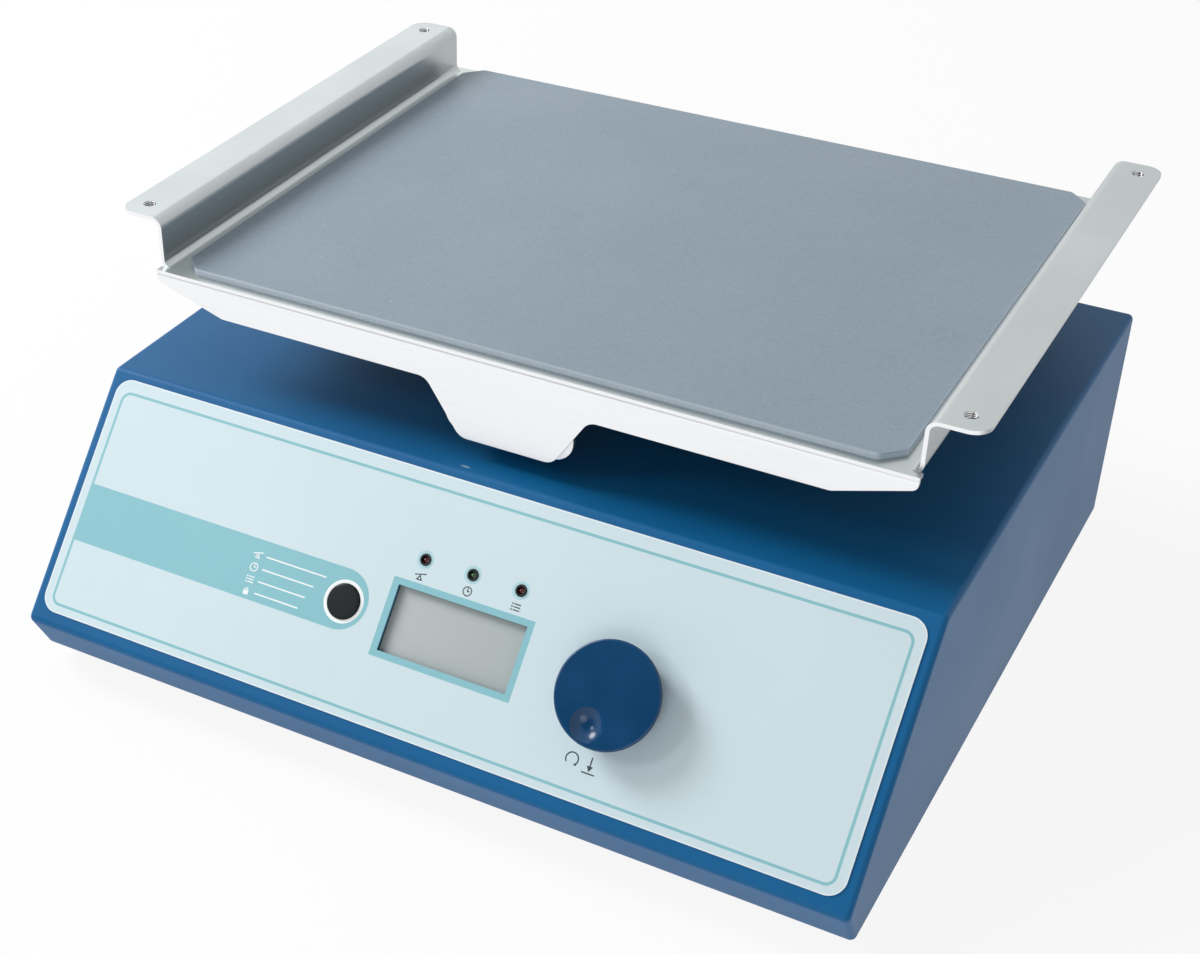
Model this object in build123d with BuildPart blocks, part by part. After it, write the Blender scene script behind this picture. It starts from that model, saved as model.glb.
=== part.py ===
from build123d import *
import os
from math import atan2, cos, radians, sin, sqrt, tan

os.makedirs("parts", exist_ok=True)

# Housing: a folded steel case with a sloping front, standing on four feet
overall_depth = 320
housing_width = 350
tray_overhang = 4
housing_height = 98
nose_height = 17.5
front_run = 71.5
lip_run = 9.5
housing_sheet = 1.5
fold_radius = 3
side_radius = 2.2
return_width = 14
return_thickness = 1.5
base_sheet = 1.5
edge_gap = 0.4
foot_height = 8
foot_diameter = 25
foot_inset_x = 35
foot_inset_front = 40
foot_inset_back = 32
foot_recess_diameter = 12
foot_recess_depth = 4.5
foot_draft = 4

# Fasteners
m3 = 3.0
m4 = 4.0
thread_play = 0.06
hole_play = 0.25
head_ratio = 1.9
head_height_ratio = 0.62
recess_ratio = 0.6
recess_arm_ratio = 0.22
screw_tail = 2
screw_end_gap = 1

# Front panel, measured up the slope from the nose
overlay_side_margin = 4.5
overlay_top_margin = 3.2
overlay_start = 5.7
overlay_corner = 7
overlay_thickness = 0.5
window_x = 4.75
window_v = 47.05
window_width = 54.5
window_height = 25.9
window_play = 0.6
lamp_v = 71.8
lamp_x = 4.9
lamp_pitch = 20.2
lamp_diameter = 3
lamp_holder_diameter = 4.2
lamp_holder_lip = 0.5
lamp_holder_rim = 1
lamp_holder_rim_depth = 2
lamp_dome_ratio = 0.4
button_x = -42.1
button_v = 47.2
button_diameter = 13.4
button_play = 0.35
button_proud = 1.0
button_edge_round = 0.6
button_travel = 0.6
button_rest_gap = 0.3
button_flange = 1.5
button_stem_diameter = 4
button_stem_depth = 8
tact_switch_size = 9
knob_x = 73
knob_v = 45.8
knob_diameter = 40.5
knob_back_diameter = 34
knob_face_height = 12
knob_panel_gap = 1.2
knob_wall = 2.2
knob_edge_round = 0.8
knob_dimple_diameter = 12.8
knob_dimple_depth = 2.6
knob_dimple_x = -3.6
knob_dimple_v = -12.2
knob_travel = 0.6
knob_hollow_play = 1
encoder_shaft_diameter = 6
encoder_bush_diameter = 7
encoder_nut_flats = 10
encoder_nut_thickness = 2
encoder_nut_clearance = 2
encoder_corner = 1
encoder_body_size = 13
encoder_body_depth = 6.5
encoder_plunger_gap = 0.3
encoder_plunger_thickness = 2
encoder_plunger_rim = 1
encoder_bush_proud = 1.5
running_play = 0.05

# Control board behind the panel
board_thickness = 1.6
board_depth = 14
board_width = 184
board_length = 74
board_x = 2
board_v = 51
board_hole_inset = 4
board_corner = 2
chip_corner = 0.5
standoff_flats = 5.5
display_frame_width = 66
display_frame_height = 37
display_frame_depth = 5.5
display_recess = 0.6
display_glass_thickness = 1.6
display_glass_margin = 2.4
display_glass_play = 0.2
carrier_wall = 3

# Tray: a bent stainless sheet
tray_floor_lift = 44.5
tray_sheet = 1.5
tray_front_setback = 80
tray_wall_height = 20.5
tray_flange_width = 19
tray_bend = 3
tray_wall_setback = 3.5
flange_corner = 7
flange_hole_inset_x = 8.5
flange_hole_inset_y = 13
flange_hole_diameter = 5.2
flange_boss_wall = 1.4
flange_boss_height = 2
apron_bend = 3
apron_depth = 14.4
apron_end_depth = 5
apron_taper_run = 30
tab_top_width = 68
tab_bottom_width = 39
tab_depth = 36.5
tab_corner = 6

# Mat
mat_side_gap = 8
mat_thickness = 2.2
mat_corner_cut = 8
mat_corner_round = 3
mat_front_gap = 4
mat_back_gap = 2
mat_edge_round = 0.6

# Rocking pivot
pivot_lift = 20
rock_angle = 10
pivot_diameter = 8
bush_wall = 2
bush_flange_diameter = 16
cradle_sheet = 2
cradle_width = 54
cradle_tab_gap = 1
cradle_bottom_reach = 11.5
cradle_corner = 9
cradle_flange_depth = 10
post_setback = 7.5
post_thickness = 16
post_width = 24
post_screw_spacing = 14
post_screw_reach = 10
bush_lug_gap = 0.5
clip_thickness = 1
clip_diameter = 12
clip_groove_depth = 0.5
pin_tail = 2
clip_mouth_ratio = 0.7

# Drive: a crank pin turning in a slotted lever
drive_setback = 115
crank_height = 60
lever_thickness = 4
lever_width = 26
lever_foot_length = 24
roller_diameter = 10
roller_slot_play = 2.2
roller_width = 5
crank_pin_diameter = 5
crank_pin_head_diameter = 8
crank_pin_head_thickness = 2
crank_pin_collar_diameter = 7
crank_disc_diameter = 40
crank_disc_thickness = 6
crank_lever_gap = 3
crank_hub_diameter = 18
crank_hub_length = 12
output_shaft_diameter = 8
speed_disc_diameter = 56
speed_disc_thickness = 1
speed_disc_slots = 24
speed_slot_inset = 4
speed_slot_length = 4
speed_slot_width = 2
lever_slot_length = 38
lever_slot_width = 12
collar_height = 4
collar_wall = 3

# Motor, gearbox and bracket
gearbox_size = 56
gearbox_depth = 30
gearbox_corner = 8
gearbox_screw_spacing = 44
gearbox_boss_diameter = 20
motor_diameter = 42
motor_length = 46
motor_cap_length = 6
motor_cap_inset = 1.5
bracket_thickness = 3
bracket_width = 84
bracket_foot = 42
bracket_top_gap = 8
bracket_screw_spacing = 60
bracket_hub_gap = 2
body_edge_round = 1.5
sensor_width = 12
sensor_overlap = 6
sensor_play = 1
sensor_bridge = 4

# Power supply board on the base plate
supply_width = 96
supply_length = 130
supply_inset_x = 71
supply_setback = 113
supply_lift = 8
supply_hole_inset = 5
transformer_width = 54
transformer_length = 46
transformer_height = 44
core_thickness = 20
core_centre_leg = 17.5
core_window_width = 11.5
core_window_height = 26.4
coil_play = 0.4
capacitor_diameter = 16
capacitor_height = 26
capacitor_pitch = 22
heat_sink_width = 40
heat_sink_height = 34
heat_sink_fins = 6
heat_sink_base = 3
heat_sink_depth = 16
fin_thickness = 1.4
capacitor_edge_round = 1
terminal_depth = 12
terminal_height = 12
plug_height = 7
plug_margin = 1

# Back panel
inlet_inset_x = 57
inlet_z = 40
inlet_flange_width = 50
inlet_flange_height = 31
inlet_flange_thickness = 3
inlet_body_width = 30
inlet_body_height = 24
inlet_body_depth = 24
inlet_socket_width = 24.5
inlet_socket_height = 18
inlet_socket_depth = 17
inlet_screw_spacing = 40
inlet_corner = 4
inlet_edge_round = 0.8
inlet_socket_corner = 2.5
inlet_pin_pitch = 7
inlet_pin_drop = 2
blade_thickness = 2
blade_width = 4
blade_recess = 2
switch_inlet_pitch = 48
switch_z = 40
switch_flange_width = 15
switch_flange_height = 21
switch_flange_thickness = 2
switch_body_width = 12.6
switch_body_height = 18.6
switch_body_depth = 14
switch_wall = 1.2
switch_edge_round = 0.6
rocker_play = 0.4
rocker_angle = 20
rocker_proud = 1.0
rocker_pivot_depth = 4
vent_count = 9
vent_pitch = 8
vent_width = 3
vent_length = 40
vent_inset_x = 105
vent_z = 62
base_vent_inset_x = 63

# Inner leads
lead_diameter = 4
ribbon_width = 16
ribbon_thickness = 1.2
ribbon_bend = 30
ribbon_supply_inset = 20
mains_lead_bend = 6.5
motor_lead_bend = 12
lead_rise = 6

# Levels and places worked out from the sizes above
rim_z = foot_height
top_z = rim_z + housing_height
side_x = housing_width / 2
housing_depth = overall_depth - tray_overhang
tray_width = housing_width - 2 * tray_flange_width
tray_depth = overall_depth - tray_front_setback
mat_width = tray_width - 2 * mat_side_gap
mat_depth = tray_depth - mat_front_gap - mat_back_gap
flange_hole_spacing_x = housing_width - 2 * flange_hole_inset_x
flange_hole_spacing_y = tray_depth - 2 * flange_hole_inset_y
slope = atan2(housing_height - nose_height, front_run)
lip_angle = atan2(lip_run, nose_height)
nose_round = fold_radius * ((sin(lip_angle) + cos(slope)) / cos(slope - lip_angle) - 1)
nose_y = -overall_depth / 2 - nose_round
nose_z = rim_z + nose_height
lip_y = nose_y + lip_run
front_edge_y = nose_y + front_run
back_y = nose_y + housing_depth
inner_back_y = back_y - housing_sheet
lip_wall_run = housing_sheet / cos(lip_angle)
base_top_z = rim_z + base_sheet
front = Plane(origin=(0, nose_y, nose_z), x_dir=(1, 0, 0), z_dir=(0, -sin(slope), cos(slope)))
slope_length = sqrt(front_run ** 2 + (housing_height - nose_height) ** 2)
overlay_width = housing_width - 2 * overlay_side_margin
overlay_length = slope_length - overlay_start - overlay_top_margin
overlay_v = overlay_start + overlay_length / 2
supply_x = supply_inset_x - side_x
supply_y = back_y - supply_setback
inlet_x = inlet_inset_x - side_x
switch_x = inlet_x + switch_inlet_pitch
vent_x = side_x - vent_inset_x
base_vent_x = side_x - base_vent_inset_x
ribbon_x = supply_x + supply_width / 2 - ribbon_supply_inset

floor_z = top_z + tray_floor_lift
flange_z = floor_z + tray_wall_height
tray_y = overall_depth / 2 - tray_depth / 2
tray_front_y = tray_y - tray_depth / 2
tray_back_y = tray_y + tray_depth / 2
tray_under_z = floor_z - tray_sheet
flange_half = tray_width / 2 + tray_flange_width
mat_y = tray_front_y + mat_front_gap + mat_depth / 2

pivot_z = top_z + pivot_lift
lug_outer_y = tray_depth / 2 - tray_sheet - cradle_tab_gap
lug_inner_y = lug_outer_y - cradle_sheet
post_face_y = lug_inner_y - post_setback
post_y = post_face_y - post_thickness / 2
cradle_under_z = tray_under_z - cradle_sheet
bush_diameter = pivot_diameter + 2 * bush_wall

drive_y = back_y - drive_setback
crank_reach = pivot_z - crank_height
crank_radius = crank_reach * tan(radians(rock_angle))
pin_reach = crank_reach + crank_radius
crank_pin_z = crank_height - crank_radius
lever_slot_half = roller_diameter / 2 + roller_slot_play
lever_tip_z = pivot_z - pin_reach - lever_slot_half - lever_thickness
disc_front_y = drive_y + lever_thickness / 2 + crank_lever_gap
disc_back_y = disc_front_y + crank_disc_thickness
hub_back_y = disc_back_y + crank_hub_length
bracket_front_y = hub_back_y + bracket_hub_gap
bracket_back_y = bracket_front_y + bracket_thickness
gearbox_back_y = bracket_back_y + gearbox_depth
motor_back_y = gearbox_back_y + motor_length
motor_terminal_x = -motor_diameter / 2


def facing(y):
    """A plane square to the Y axis at y, seen from the front: x to the right, z up."""
    return Plane(origin=(0, y, 0), x_dir=(1, 0, 0), z_dir=(0, -1, 0))


def head_diameter(size):
    return size * head_ratio


def pan_screw(size, length):
    """A pan-head screw with a cross recess: its seat at z = 0, its shank below."""
    head = head_diameter(size)
    head_height = size * head_height_ratio
    recess = head * recess_ratio
    with BuildPart() as screw:
        with BuildSketch():
            Circle(head / 2)
        extrude(amount=head_height)
        fillet(screw.edges().group_by(Axis.Z)[-1], head_height / 2)
        with BuildSketch():
            Circle(size / 2 - thread_play)
        extrude(amount=-length)
        chamfer(screw.edges().group_by(Axis.Z)[0], size / 8)
        with BuildSketch(Plane.XY.offset(head_height)):
            Rectangle(recess, recess * recess_arm_ratio)
            Rectangle(recess * recess_arm_ratio, recess)
        extrude(amount=-head_height * recess_ratio, mode=Mode.SUBTRACT)
    return screw.part


def flat_screw(size, length):
    """A countersunk screw: the top of its head at z = 0, its shank below."""
    head = head_diameter(size)
    cone = (head - size) / 2
    shank = size / 2 - thread_play
    recess = head * recess_ratio
    with BuildPart() as screw:
        with BuildSketch(Plane.XZ):
            with BuildLine():
                Polyline((0, 0), (head / 2, 0), (shank, -cone), (shank, -length), (0, -length), close=True)
            make_face()
        revolve(axis=Axis.Z)
        with BuildSketch():
            Rectangle(recess, recess * recess_arm_ratio)
            Rectangle(recess * recess_arm_ratio, recess)
        extrude(amount=-cone, mode=Mode.SUBTRACT)
    return screw.part


def facing_down(x, y, z):
    return Location((x, y, z), (180, 0, 0))


def corner_points(width, length, inset, x=0, y=0):
    """The four hole centres of a rectangular board."""
    half_x = width / 2 - inset
    half_y = length / 2 - inset
    return [(x + i * half_x, y + j * half_y) for i in (-1, 1) for j in (-1, 1)]


# Places that more than one piece shares
foot_points = [
    (i * (side_x - foot_inset_x), y)
    for i in (-1, 1)
    for y in (lip_y + foot_inset_front, back_y - foot_inset_back)
]
return_x = side_x - housing_sheet - return_width / 2
return_front_y = lip_y + housing_sheet + return_width / 2
return_back_y = inner_back_y - return_width / 2
base_screw_points = [
    (i * return_x, return_front_y + j * (return_back_y - return_front_y) / 2)
    for i in (-1, 1)
    for j in (0, 1, 2)
]
base_screw_points += [(i * return_x / 3, y) for i in (-1, 1) for y in (return_front_y, return_back_y)]
post_points = [
    (i * post_screw_spacing / 2, tray_y + j * post_y)
    for i in (-1, 1)
    for j in (-1, 1)
]
lamp_points = [(lamp_x + i * lamp_pitch, lamp_v) for i in (-1, 0, 1)]
board_points = corner_points(board_width, board_length, board_hole_inset, board_x, board_v)
supply_points = corner_points(supply_width, supply_length, supply_hole_inset, supply_x, supply_y)
supply_z = base_top_z + supply_lift
supply_top_z = supply_z + board_thickness
gearbox_points = [
    (i * gearbox_screw_spacing / 2, crank_height + j * gearbox_screw_spacing / 2)
    for i in (-1, 1)
    for j in (-1, 1)
]
bracket_points = [
    (i * bracket_screw_spacing / 2, bracket_front_y - bracket_foot / 2) for i in (-1, 1)
]
inlet_points = [(inlet_x + i * inlet_screw_spacing / 2, inlet_z) for i in (-1, 1)]
flange_points = [
    (i * flange_hole_spacing_x / 2, tray_y + j * flange_hole_spacing_y / 2)
    for i in (-1, 1)
    for j in (-1, 1)
]
cradle_screw_points = [
    (i * cradle_width / 3, tray_y + j * tray_depth / 3)
    for i in (-1, 1)
    for j in (-1, 1)
]
lever_screw_points = [(i * lever_width / 4, drive_y - lever_foot_length / 2) for i in (-1, 1)]

with BuildPart() as housing_shell:
    with BuildSketch(Plane.YZ):
        with BuildLine():
            Polyline(
                (lip_y, rim_z),
                (nose_y, nose_z),
                (front_edge_y, top_z),
                (back_y, top_z),
                (back_y, rim_z),
                close=True,
            )
        make_face()
        fillet(vertices().sort_by(Axis.Y)[2:] + vertices().sort_by(Axis.X)[:1], fold_radius)
    extrude(amount=side_x, both=True)
    for side in housing_shell.faces().filter_by(Axis.X):
        fillet(side.edges().sort_by(Axis.Z)[1:], side_radius)
    offset(amount=-housing_sheet, openings=housing_shell.faces().sort_by(Axis.Z)[0])
    # Inward flanges along the bottom, which the base plate is screwed to
    return_mid_z = base_top_z + return_thickness / 2
    return_start_y = lip_y + lip_wall_run / 2 - (return_mid_z - rim_z) * tan(lip_angle)
    return_end_y = back_y - housing_sheet / 2
    with BuildSketch(Plane.XY.offset(base_top_z)):
        with Locations((0, (return_start_y + return_end_y) / 2)):
            Rectangle(housing_width - housing_sheet, return_end_y - return_start_y)
        with Locations((0, (return_front_y + return_back_y) / 2)):
            Rectangle(
                housing_width - 2 * housing_sheet - 2 * return_width,
                return_back_y - return_front_y - return_width,
                mode=Mode.SUBTRACT,
            )
    extrude(amount=return_thickness)
    with BuildSketch(Plane.XY.offset(base_top_z)):
        with Locations(*base_screw_points):
            Circle(m3 / 2)
    extrude(amount=return_thickness, mode=Mode.SUBTRACT)
    # Holes in the top for the lever and the pivot posts
    with BuildSketch(Plane.XY.offset(top_z)):
        with Locations((0, drive_y)):
            SlotOverall(lever_slot_length, lever_slot_width)
        with Locations(*post_points):
            Circle(m4 / 2 + hole_play)
    extrude(amount=-2 * housing_sheet, mode=Mode.SUBTRACT)
    # Holes in the front for the display, lamps, button and encoder
    with BuildSketch(front):
        with Locations((window_x, window_v)):
            Rectangle(window_width + window_play, window_height + window_play)
        with Locations(*lamp_points):
            Circle(lamp_holder_diameter / 2 + hole_play)
        with Locations((button_x, button_v)):
            Circle(button_diameter / 2 + button_play)
        with Locations((knob_x, knob_v)):
            Circle(encoder_bush_diameter / 2 + hole_play)
    extrude(amount=-2 * housing_sheet, mode=Mode.SUBTRACT)
    # Holes in the back for the inlet, the switch and the air
    with BuildSketch(facing(back_y)):
        with Locations((inlet_x, inlet_z)):
            Rectangle(inlet_body_width + 2 * hole_play, inlet_body_height + 2 * hole_play)
        with Locations((switch_x, switch_z)):
            Rectangle(switch_body_width + 2 * hole_play, switch_body_height + 2 * hole_play)
        with Locations(*inlet_points):
            Circle(m3 / 2)
        with Locations((vent_x, vent_z)):
            with GridLocations(vent_pitch, 0, vent_count, 1):
                SlotOverall(vent_length, vent_width, rotation=90)
    extrude(amount=2 * housing_sheet, mode=Mode.SUBTRACT)

base_front_y = lip_y + lip_wall_run + edge_gap
base_back_y = inner_back_y - edge_gap
with BuildPart() as base_plate:
    with BuildSketch(Plane.XY.offset(rim_z)):
        with Locations((0, (base_front_y + base_back_y) / 2)):
            Rectangle(housing_width - 2 * housing_sheet - 2 * edge_gap, base_back_y - base_front_y)
        fillet(vertices(), side_radius - housing_sheet)
        with Locations(*base_screw_points):
            Circle(m3 / 2 + hole_play, mode=Mode.SUBTRACT)
        with Locations(*foot_points):
            Circle(m4 / 2, mode=Mode.SUBTRACT)
        with Locations(*bracket_points):
            Circle(m4 / 2 + hole_play, mode=Mode.SUBTRACT)
        with Locations(*supply_points):
            Circle(m3 / 2 + hole_play, mode=Mode.SUBTRACT)
        with Locations((base_vent_x, drive_y)):
            with GridLocations(vent_pitch, 0, vent_count, 1):
                SlotOverall(vent_length, vent_width, rotation=90, mode=Mode.SUBTRACT)
    extrude(amount=base_sheet)

with BuildPart() as base_screws:
    with Locations(*[facing_down(x, y, rim_z) for x, y in base_screw_points]):
        add(pan_screw(m3, base_sheet + 2 * return_thickness))

with BuildPart() as feet:
    for x, y in foot_points:
        with BuildSketch(Plane((x, y, 0))):
            Circle(foot_diameter / 2)
        extrude(amount=foot_height, taper=-foot_draft)
        with BuildSketch(Plane((x, y, 0))):
            Circle(foot_recess_diameter / 2)
        extrude(amount=foot_recess_depth, mode=Mode.SUBTRACT)
        with BuildSketch(Plane((x, y, 0))):
            Circle(m4 / 2 + hole_play)
        extrude(amount=foot_height, mode=Mode.SUBTRACT)

with BuildPart() as foot_screws:
    with Locations(*[facing_down(x, y, foot_recess_depth) for x, y in foot_points]):
        add(pan_screw(m4, foot_height - foot_recess_depth + base_sheet + screw_tail))

with BuildPart() as control_overlay:
    with BuildSketch(front):
        with Locations((0, overlay_v)):
            RectangleRounded(overlay_width, overlay_length, overlay_corner)
        with Locations((window_x, window_v)):
            Rectangle(window_width, window_height, mode=Mode.SUBTRACT)
        with Locations(*lamp_points):
            Circle(lamp_holder_diameter / 2 + hole_play, mode=Mode.SUBTRACT)
        with Locations((button_x, button_v)):
            Circle(button_diameter / 2 + button_play, mode=Mode.SUBTRACT)
        with Locations((knob_x, knob_v)):
            Circle(encoder_nut_flats / 2 + encoder_nut_clearance, mode=Mode.SUBTRACT)
    extrude(amount=overlay_thickness)

frame_front = front.offset(-housing_sheet)
with BuildPart() as display_frame:
    with BuildSketch(frame_front):
        with Locations((window_x, window_v)):
            Rectangle(display_frame_width, display_frame_height)
            Rectangle(window_width + window_play, window_height + window_play, mode=Mode.SUBTRACT)
    extrude(amount=-display_frame_depth)
    with BuildSketch(frame_front.offset(-display_recess)):
        with Locations((window_x, window_v)):
            Rectangle(
                window_width + 2 * display_glass_margin + 2 * display_glass_play,
                window_height + 2 * display_glass_margin + 2 * display_glass_play,
            )
    extrude(amount=-display_frame_depth, mode=Mode.SUBTRACT)

with BuildPart() as display_glass:
    with BuildSketch(frame_front.offset(-display_recess)):
        with Locations((window_x, window_v)):
            Rectangle(
                window_width + 2 * display_glass_margin,
                window_height + 2 * display_glass_margin,
            )
    extrude(amount=-display_glass_thickness)

board_front = front.offset(-board_depth)
board_back = board_front.offset(-board_thickness)
glass_back_depth = housing_sheet + display_recess + display_glass_thickness
with BuildPart() as display_carrier:
    with BuildSketch(board_front):
        with Locations((window_x, window_v)):
            Rectangle(
                window_width + 2 * display_glass_margin,
                window_height + 2 * display_glass_margin,
            )
            Rectangle(window_width - 2 * carrier_wall, window_height - 2 * carrier_wall, mode=Mode.SUBTRACT)
    extrude(amount=board_depth - glass_back_depth)

with BuildPart() as control_board:
    with BuildSketch(board_front):
        with Locations((board_x, board_v)):
            RectangleRounded(board_width, board_length, board_corner)
        with Locations(*board_points):
            Circle(m3 / 2 + hole_play, mode=Mode.SUBTRACT)
    extrude(amount=-board_thickness)

with BuildPart() as board_standoffs:
    for x, v in board_points:
        with BuildSketch(board_front):
            with Locations((x, v)):
                RegularPolygon(radius=standoff_flats / 2, side_count=6, major_radius=False)
                Circle(m3 / 2, mode=Mode.SUBTRACT)
        extrude(amount=board_depth - housing_sheet)
    for x, y in supply_points:
        with BuildSketch(Plane.XY.offset(base_top_z)):
            with Locations((x, y)):
                RegularPolygon(radius=standoff_flats / 2, side_count=6, major_radius=False)
                Circle(m3 / 2, mode=Mode.SUBTRACT)
        extrude(amount=supply_lift)

with BuildPart() as board_screws:
    with Locations(*[board_back.location * facing_down(x, v, 0) for x, v in board_points]):
        add(pan_screw(m3, board_thickness + board_depth / 3))
    with Locations(*[(x, y, supply_top_z) for x, y in supply_points]):
        add(pan_screw(m3, board_thickness + supply_lift / 3))
    with Locations(*[facing_down(x, y, rim_z) for x, y in supply_points]):
        add(pan_screw(m3, base_sheet + supply_lift / 3))


def lamps(points):
    """Round-ended lamps that reach from the control board through the panel."""
    with BuildPart() as lamp:
        for x, v in points:
            with BuildSketch(front.offset(-board_depth)):
                with Locations((x, v)):
                    Circle(lamp_diameter / 2)
            extrude(amount=board_depth + lamp_holder_lip / 2)
        fillet(lamp.edges().sort_by(front_axis)[-len(points):], lamp_diameter * lamp_dome_ratio)
    return lamp


front_axis = Axis((0, nose_y, nose_z), (0, -sin(slope), cos(slope)))
red_lamps = lamps([lamp_points[0], lamp_points[2]])
green_lamp = lamps([lamp_points[1]])

with BuildPart() as lamp_holders:
    for x, v in lamp_points:
        with BuildSketch(front.offset(overlay_thickness + lamp_holder_lip)):
            with Locations((x, v)):
                Circle(lamp_holder_diameter / 2)
                Circle(lamp_diameter / 2 + thread_play, mode=Mode.SUBTRACT)
        extrude(amount=-overlay_thickness - lamp_holder_lip - housing_sheet)
        with BuildSketch(frame_front):
            with Locations((x, v)):
                Circle(lamp_holder_diameter / 2 + lamp_holder_rim)
                Circle(lamp_diameter / 2 + thread_play, mode=Mode.SUBTRACT)
        extrude(amount=-lamp_holder_rim_depth)

button_flange_depth = housing_sheet + button_rest_gap
with BuildPart() as mode_button:
    with BuildSketch(front.offset(overlay_thickness + button_proud)):
        with Locations((button_x, button_v)):
            Circle(button_diameter / 2)
    extrude(amount=-overlay_thickness - button_proud - button_flange_depth)
    fillet(mode_button.edges().sort_by(front_axis)[-1], button_edge_round)
    with BuildSketch(front.offset(-button_flange_depth)):
        with Locations((button_x, button_v)):
            Circle(button_diameter / 2 + button_flange)
    extrude(amount=-button_flange)
    with BuildSketch(front.offset(-button_flange_depth)):
        with Locations((button_x, button_v)):
            Circle(button_stem_diameter / 2)
    extrude(amount=button_flange_depth - button_stem_depth)

bush_length = housing_sheet + encoder_nut_thickness + encoder_bush_proud
with BuildPart() as encoder_body:
    with BuildSketch(frame_front):
        with Locations((knob_x, knob_v)):
            RectangleRounded(encoder_body_size, encoder_body_size, encoder_corner)
    extrude(amount=-encoder_body_depth)
    with BuildSketch(frame_front):
        with Locations((knob_x, knob_v)):
            Circle(encoder_bush_diameter / 2)
    extrude(amount=bush_length)
    with BuildSketch(frame_front.offset(-encoder_body_depth)):
        with Locations((knob_x, knob_v)):
            Circle(encoder_shaft_diameter / 2 + running_play)
    extrude(amount=encoder_body_depth + bush_length, mode=Mode.SUBTRACT)

with BuildPart() as encoder_nut:
    with BuildSketch(front):
        with Locations((knob_x, knob_v)):
            RegularPolygon(radius=encoder_nut_flats / 2, side_count=6, major_radius=False)
            Circle(encoder_bush_diameter / 2 + thread_play, mode=Mode.SUBTRACT)
    extrude(amount=encoder_nut_thickness)

# The knob and its shaft stand on the push plunger, behind the encoder
shaft_back_depth = housing_sheet + encoder_body_depth
shaft_length = shaft_back_depth + knob_face_height - knob_wall
with BuildPart() as encoder_shaft:
    with BuildSketch(front.offset(-shaft_back_depth)):
        with Locations((knob_x, knob_v)):
            Circle(encoder_shaft_diameter / 2)
    extrude(amount=shaft_length)

plunger_depth = shaft_back_depth + encoder_plunger_gap
with BuildPart() as encoder_plunger:
    with BuildSketch(front.offset(-plunger_depth)):
        with Locations((knob_x, knob_v)):
            Circle(encoder_shaft_diameter / 2 + encoder_plunger_rim)
    extrude(amount=-encoder_plunger_thickness)

switch_depth = plunger_depth + encoder_plunger_thickness + knob_travel + encoder_plunger_gap
with BuildPart() as panel_switches:
    with BuildSketch(board_front):
        with Locations((knob_x, knob_v)):
            RectangleRounded(encoder_body_size, encoder_body_size, encoder_corner)
    extrude(amount=board_depth - switch_depth)
    with BuildSketch(board_front):
        with Locations((button_x, button_v)):
            RectangleRounded(tact_switch_size, tact_switch_size, encoder_corner)
    extrude(amount=board_depth - button_stem_depth - button_travel - button_rest_gap)

knob_back = overlay_thickness + knob_panel_gap
knob_hollow_diameter = encoder_nut_flats / cos(radians(30)) + 2 * knob_hollow_play
knob_hollow_top = encoder_nut_thickness + encoder_bush_proud + knob_travel + knob_hollow_play
dimple_radius = (knob_dimple_diameter ** 2 / 4 + knob_dimple_depth ** 2) / (2 * knob_dimple_depth)
dimple_level = knob_face_height - knob_dimple_depth + dimple_radius
dimple_place = Location((knob_x + knob_dimple_x, knob_v + knob_dimple_v, dimple_level))
with BuildPart() as control_knob:
    with BuildSketch(front.offset(knob_back)):
        with Locations((knob_x, knob_v)):
            Circle(knob_back_diameter / 2)
    with BuildSketch(front.offset(knob_face_height)):
        with Locations((knob_x, knob_v)):
            Circle(knob_diameter / 2)
    loft()
    fillet(control_knob.edges().sort_by(front_axis)[-1], knob_edge_round)
    with BuildSketch(front.offset(knob_back)):
        with Locations((knob_x, knob_v)):
            Circle(knob_hollow_diameter / 2)
    extrude(amount=knob_hollow_top - knob_back, mode=Mode.SUBTRACT)
    with BuildSketch(front.offset(knob_back)):
        with Locations((knob_x, knob_v)):
            Circle(encoder_shaft_diameter / 2 + thread_play)
    extrude(amount=knob_face_height - knob_wall - knob_back + thread_play, mode=Mode.SUBTRACT)
    with Locations(front.location * dimple_place):
        Sphere(dimple_radius, mode=Mode.SUBTRACT)

# Tray
wall_start_y = tray_front_y + tray_wall_setback
wall_end_y = tray_back_y - tray_wall_setback
wall_x = tray_width / 2
wall_inner_x = wall_x - tray_sheet
flange_under_z = flange_z - tray_sheet
outer_bend = tray_bend + tray_sheet
apron_line_z = floor_z - tray_sheet
tray_middle = Plane(origin=(0, tray_y, 0), z_dir=(0, 1, 0))


def sheet_corner(x, z, radius):
    """Round the corner of the tray's folded outline that lies at x, z."""
    fillet(vertices().sort_by_distance((x, z, 0))[0], radius)


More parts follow.
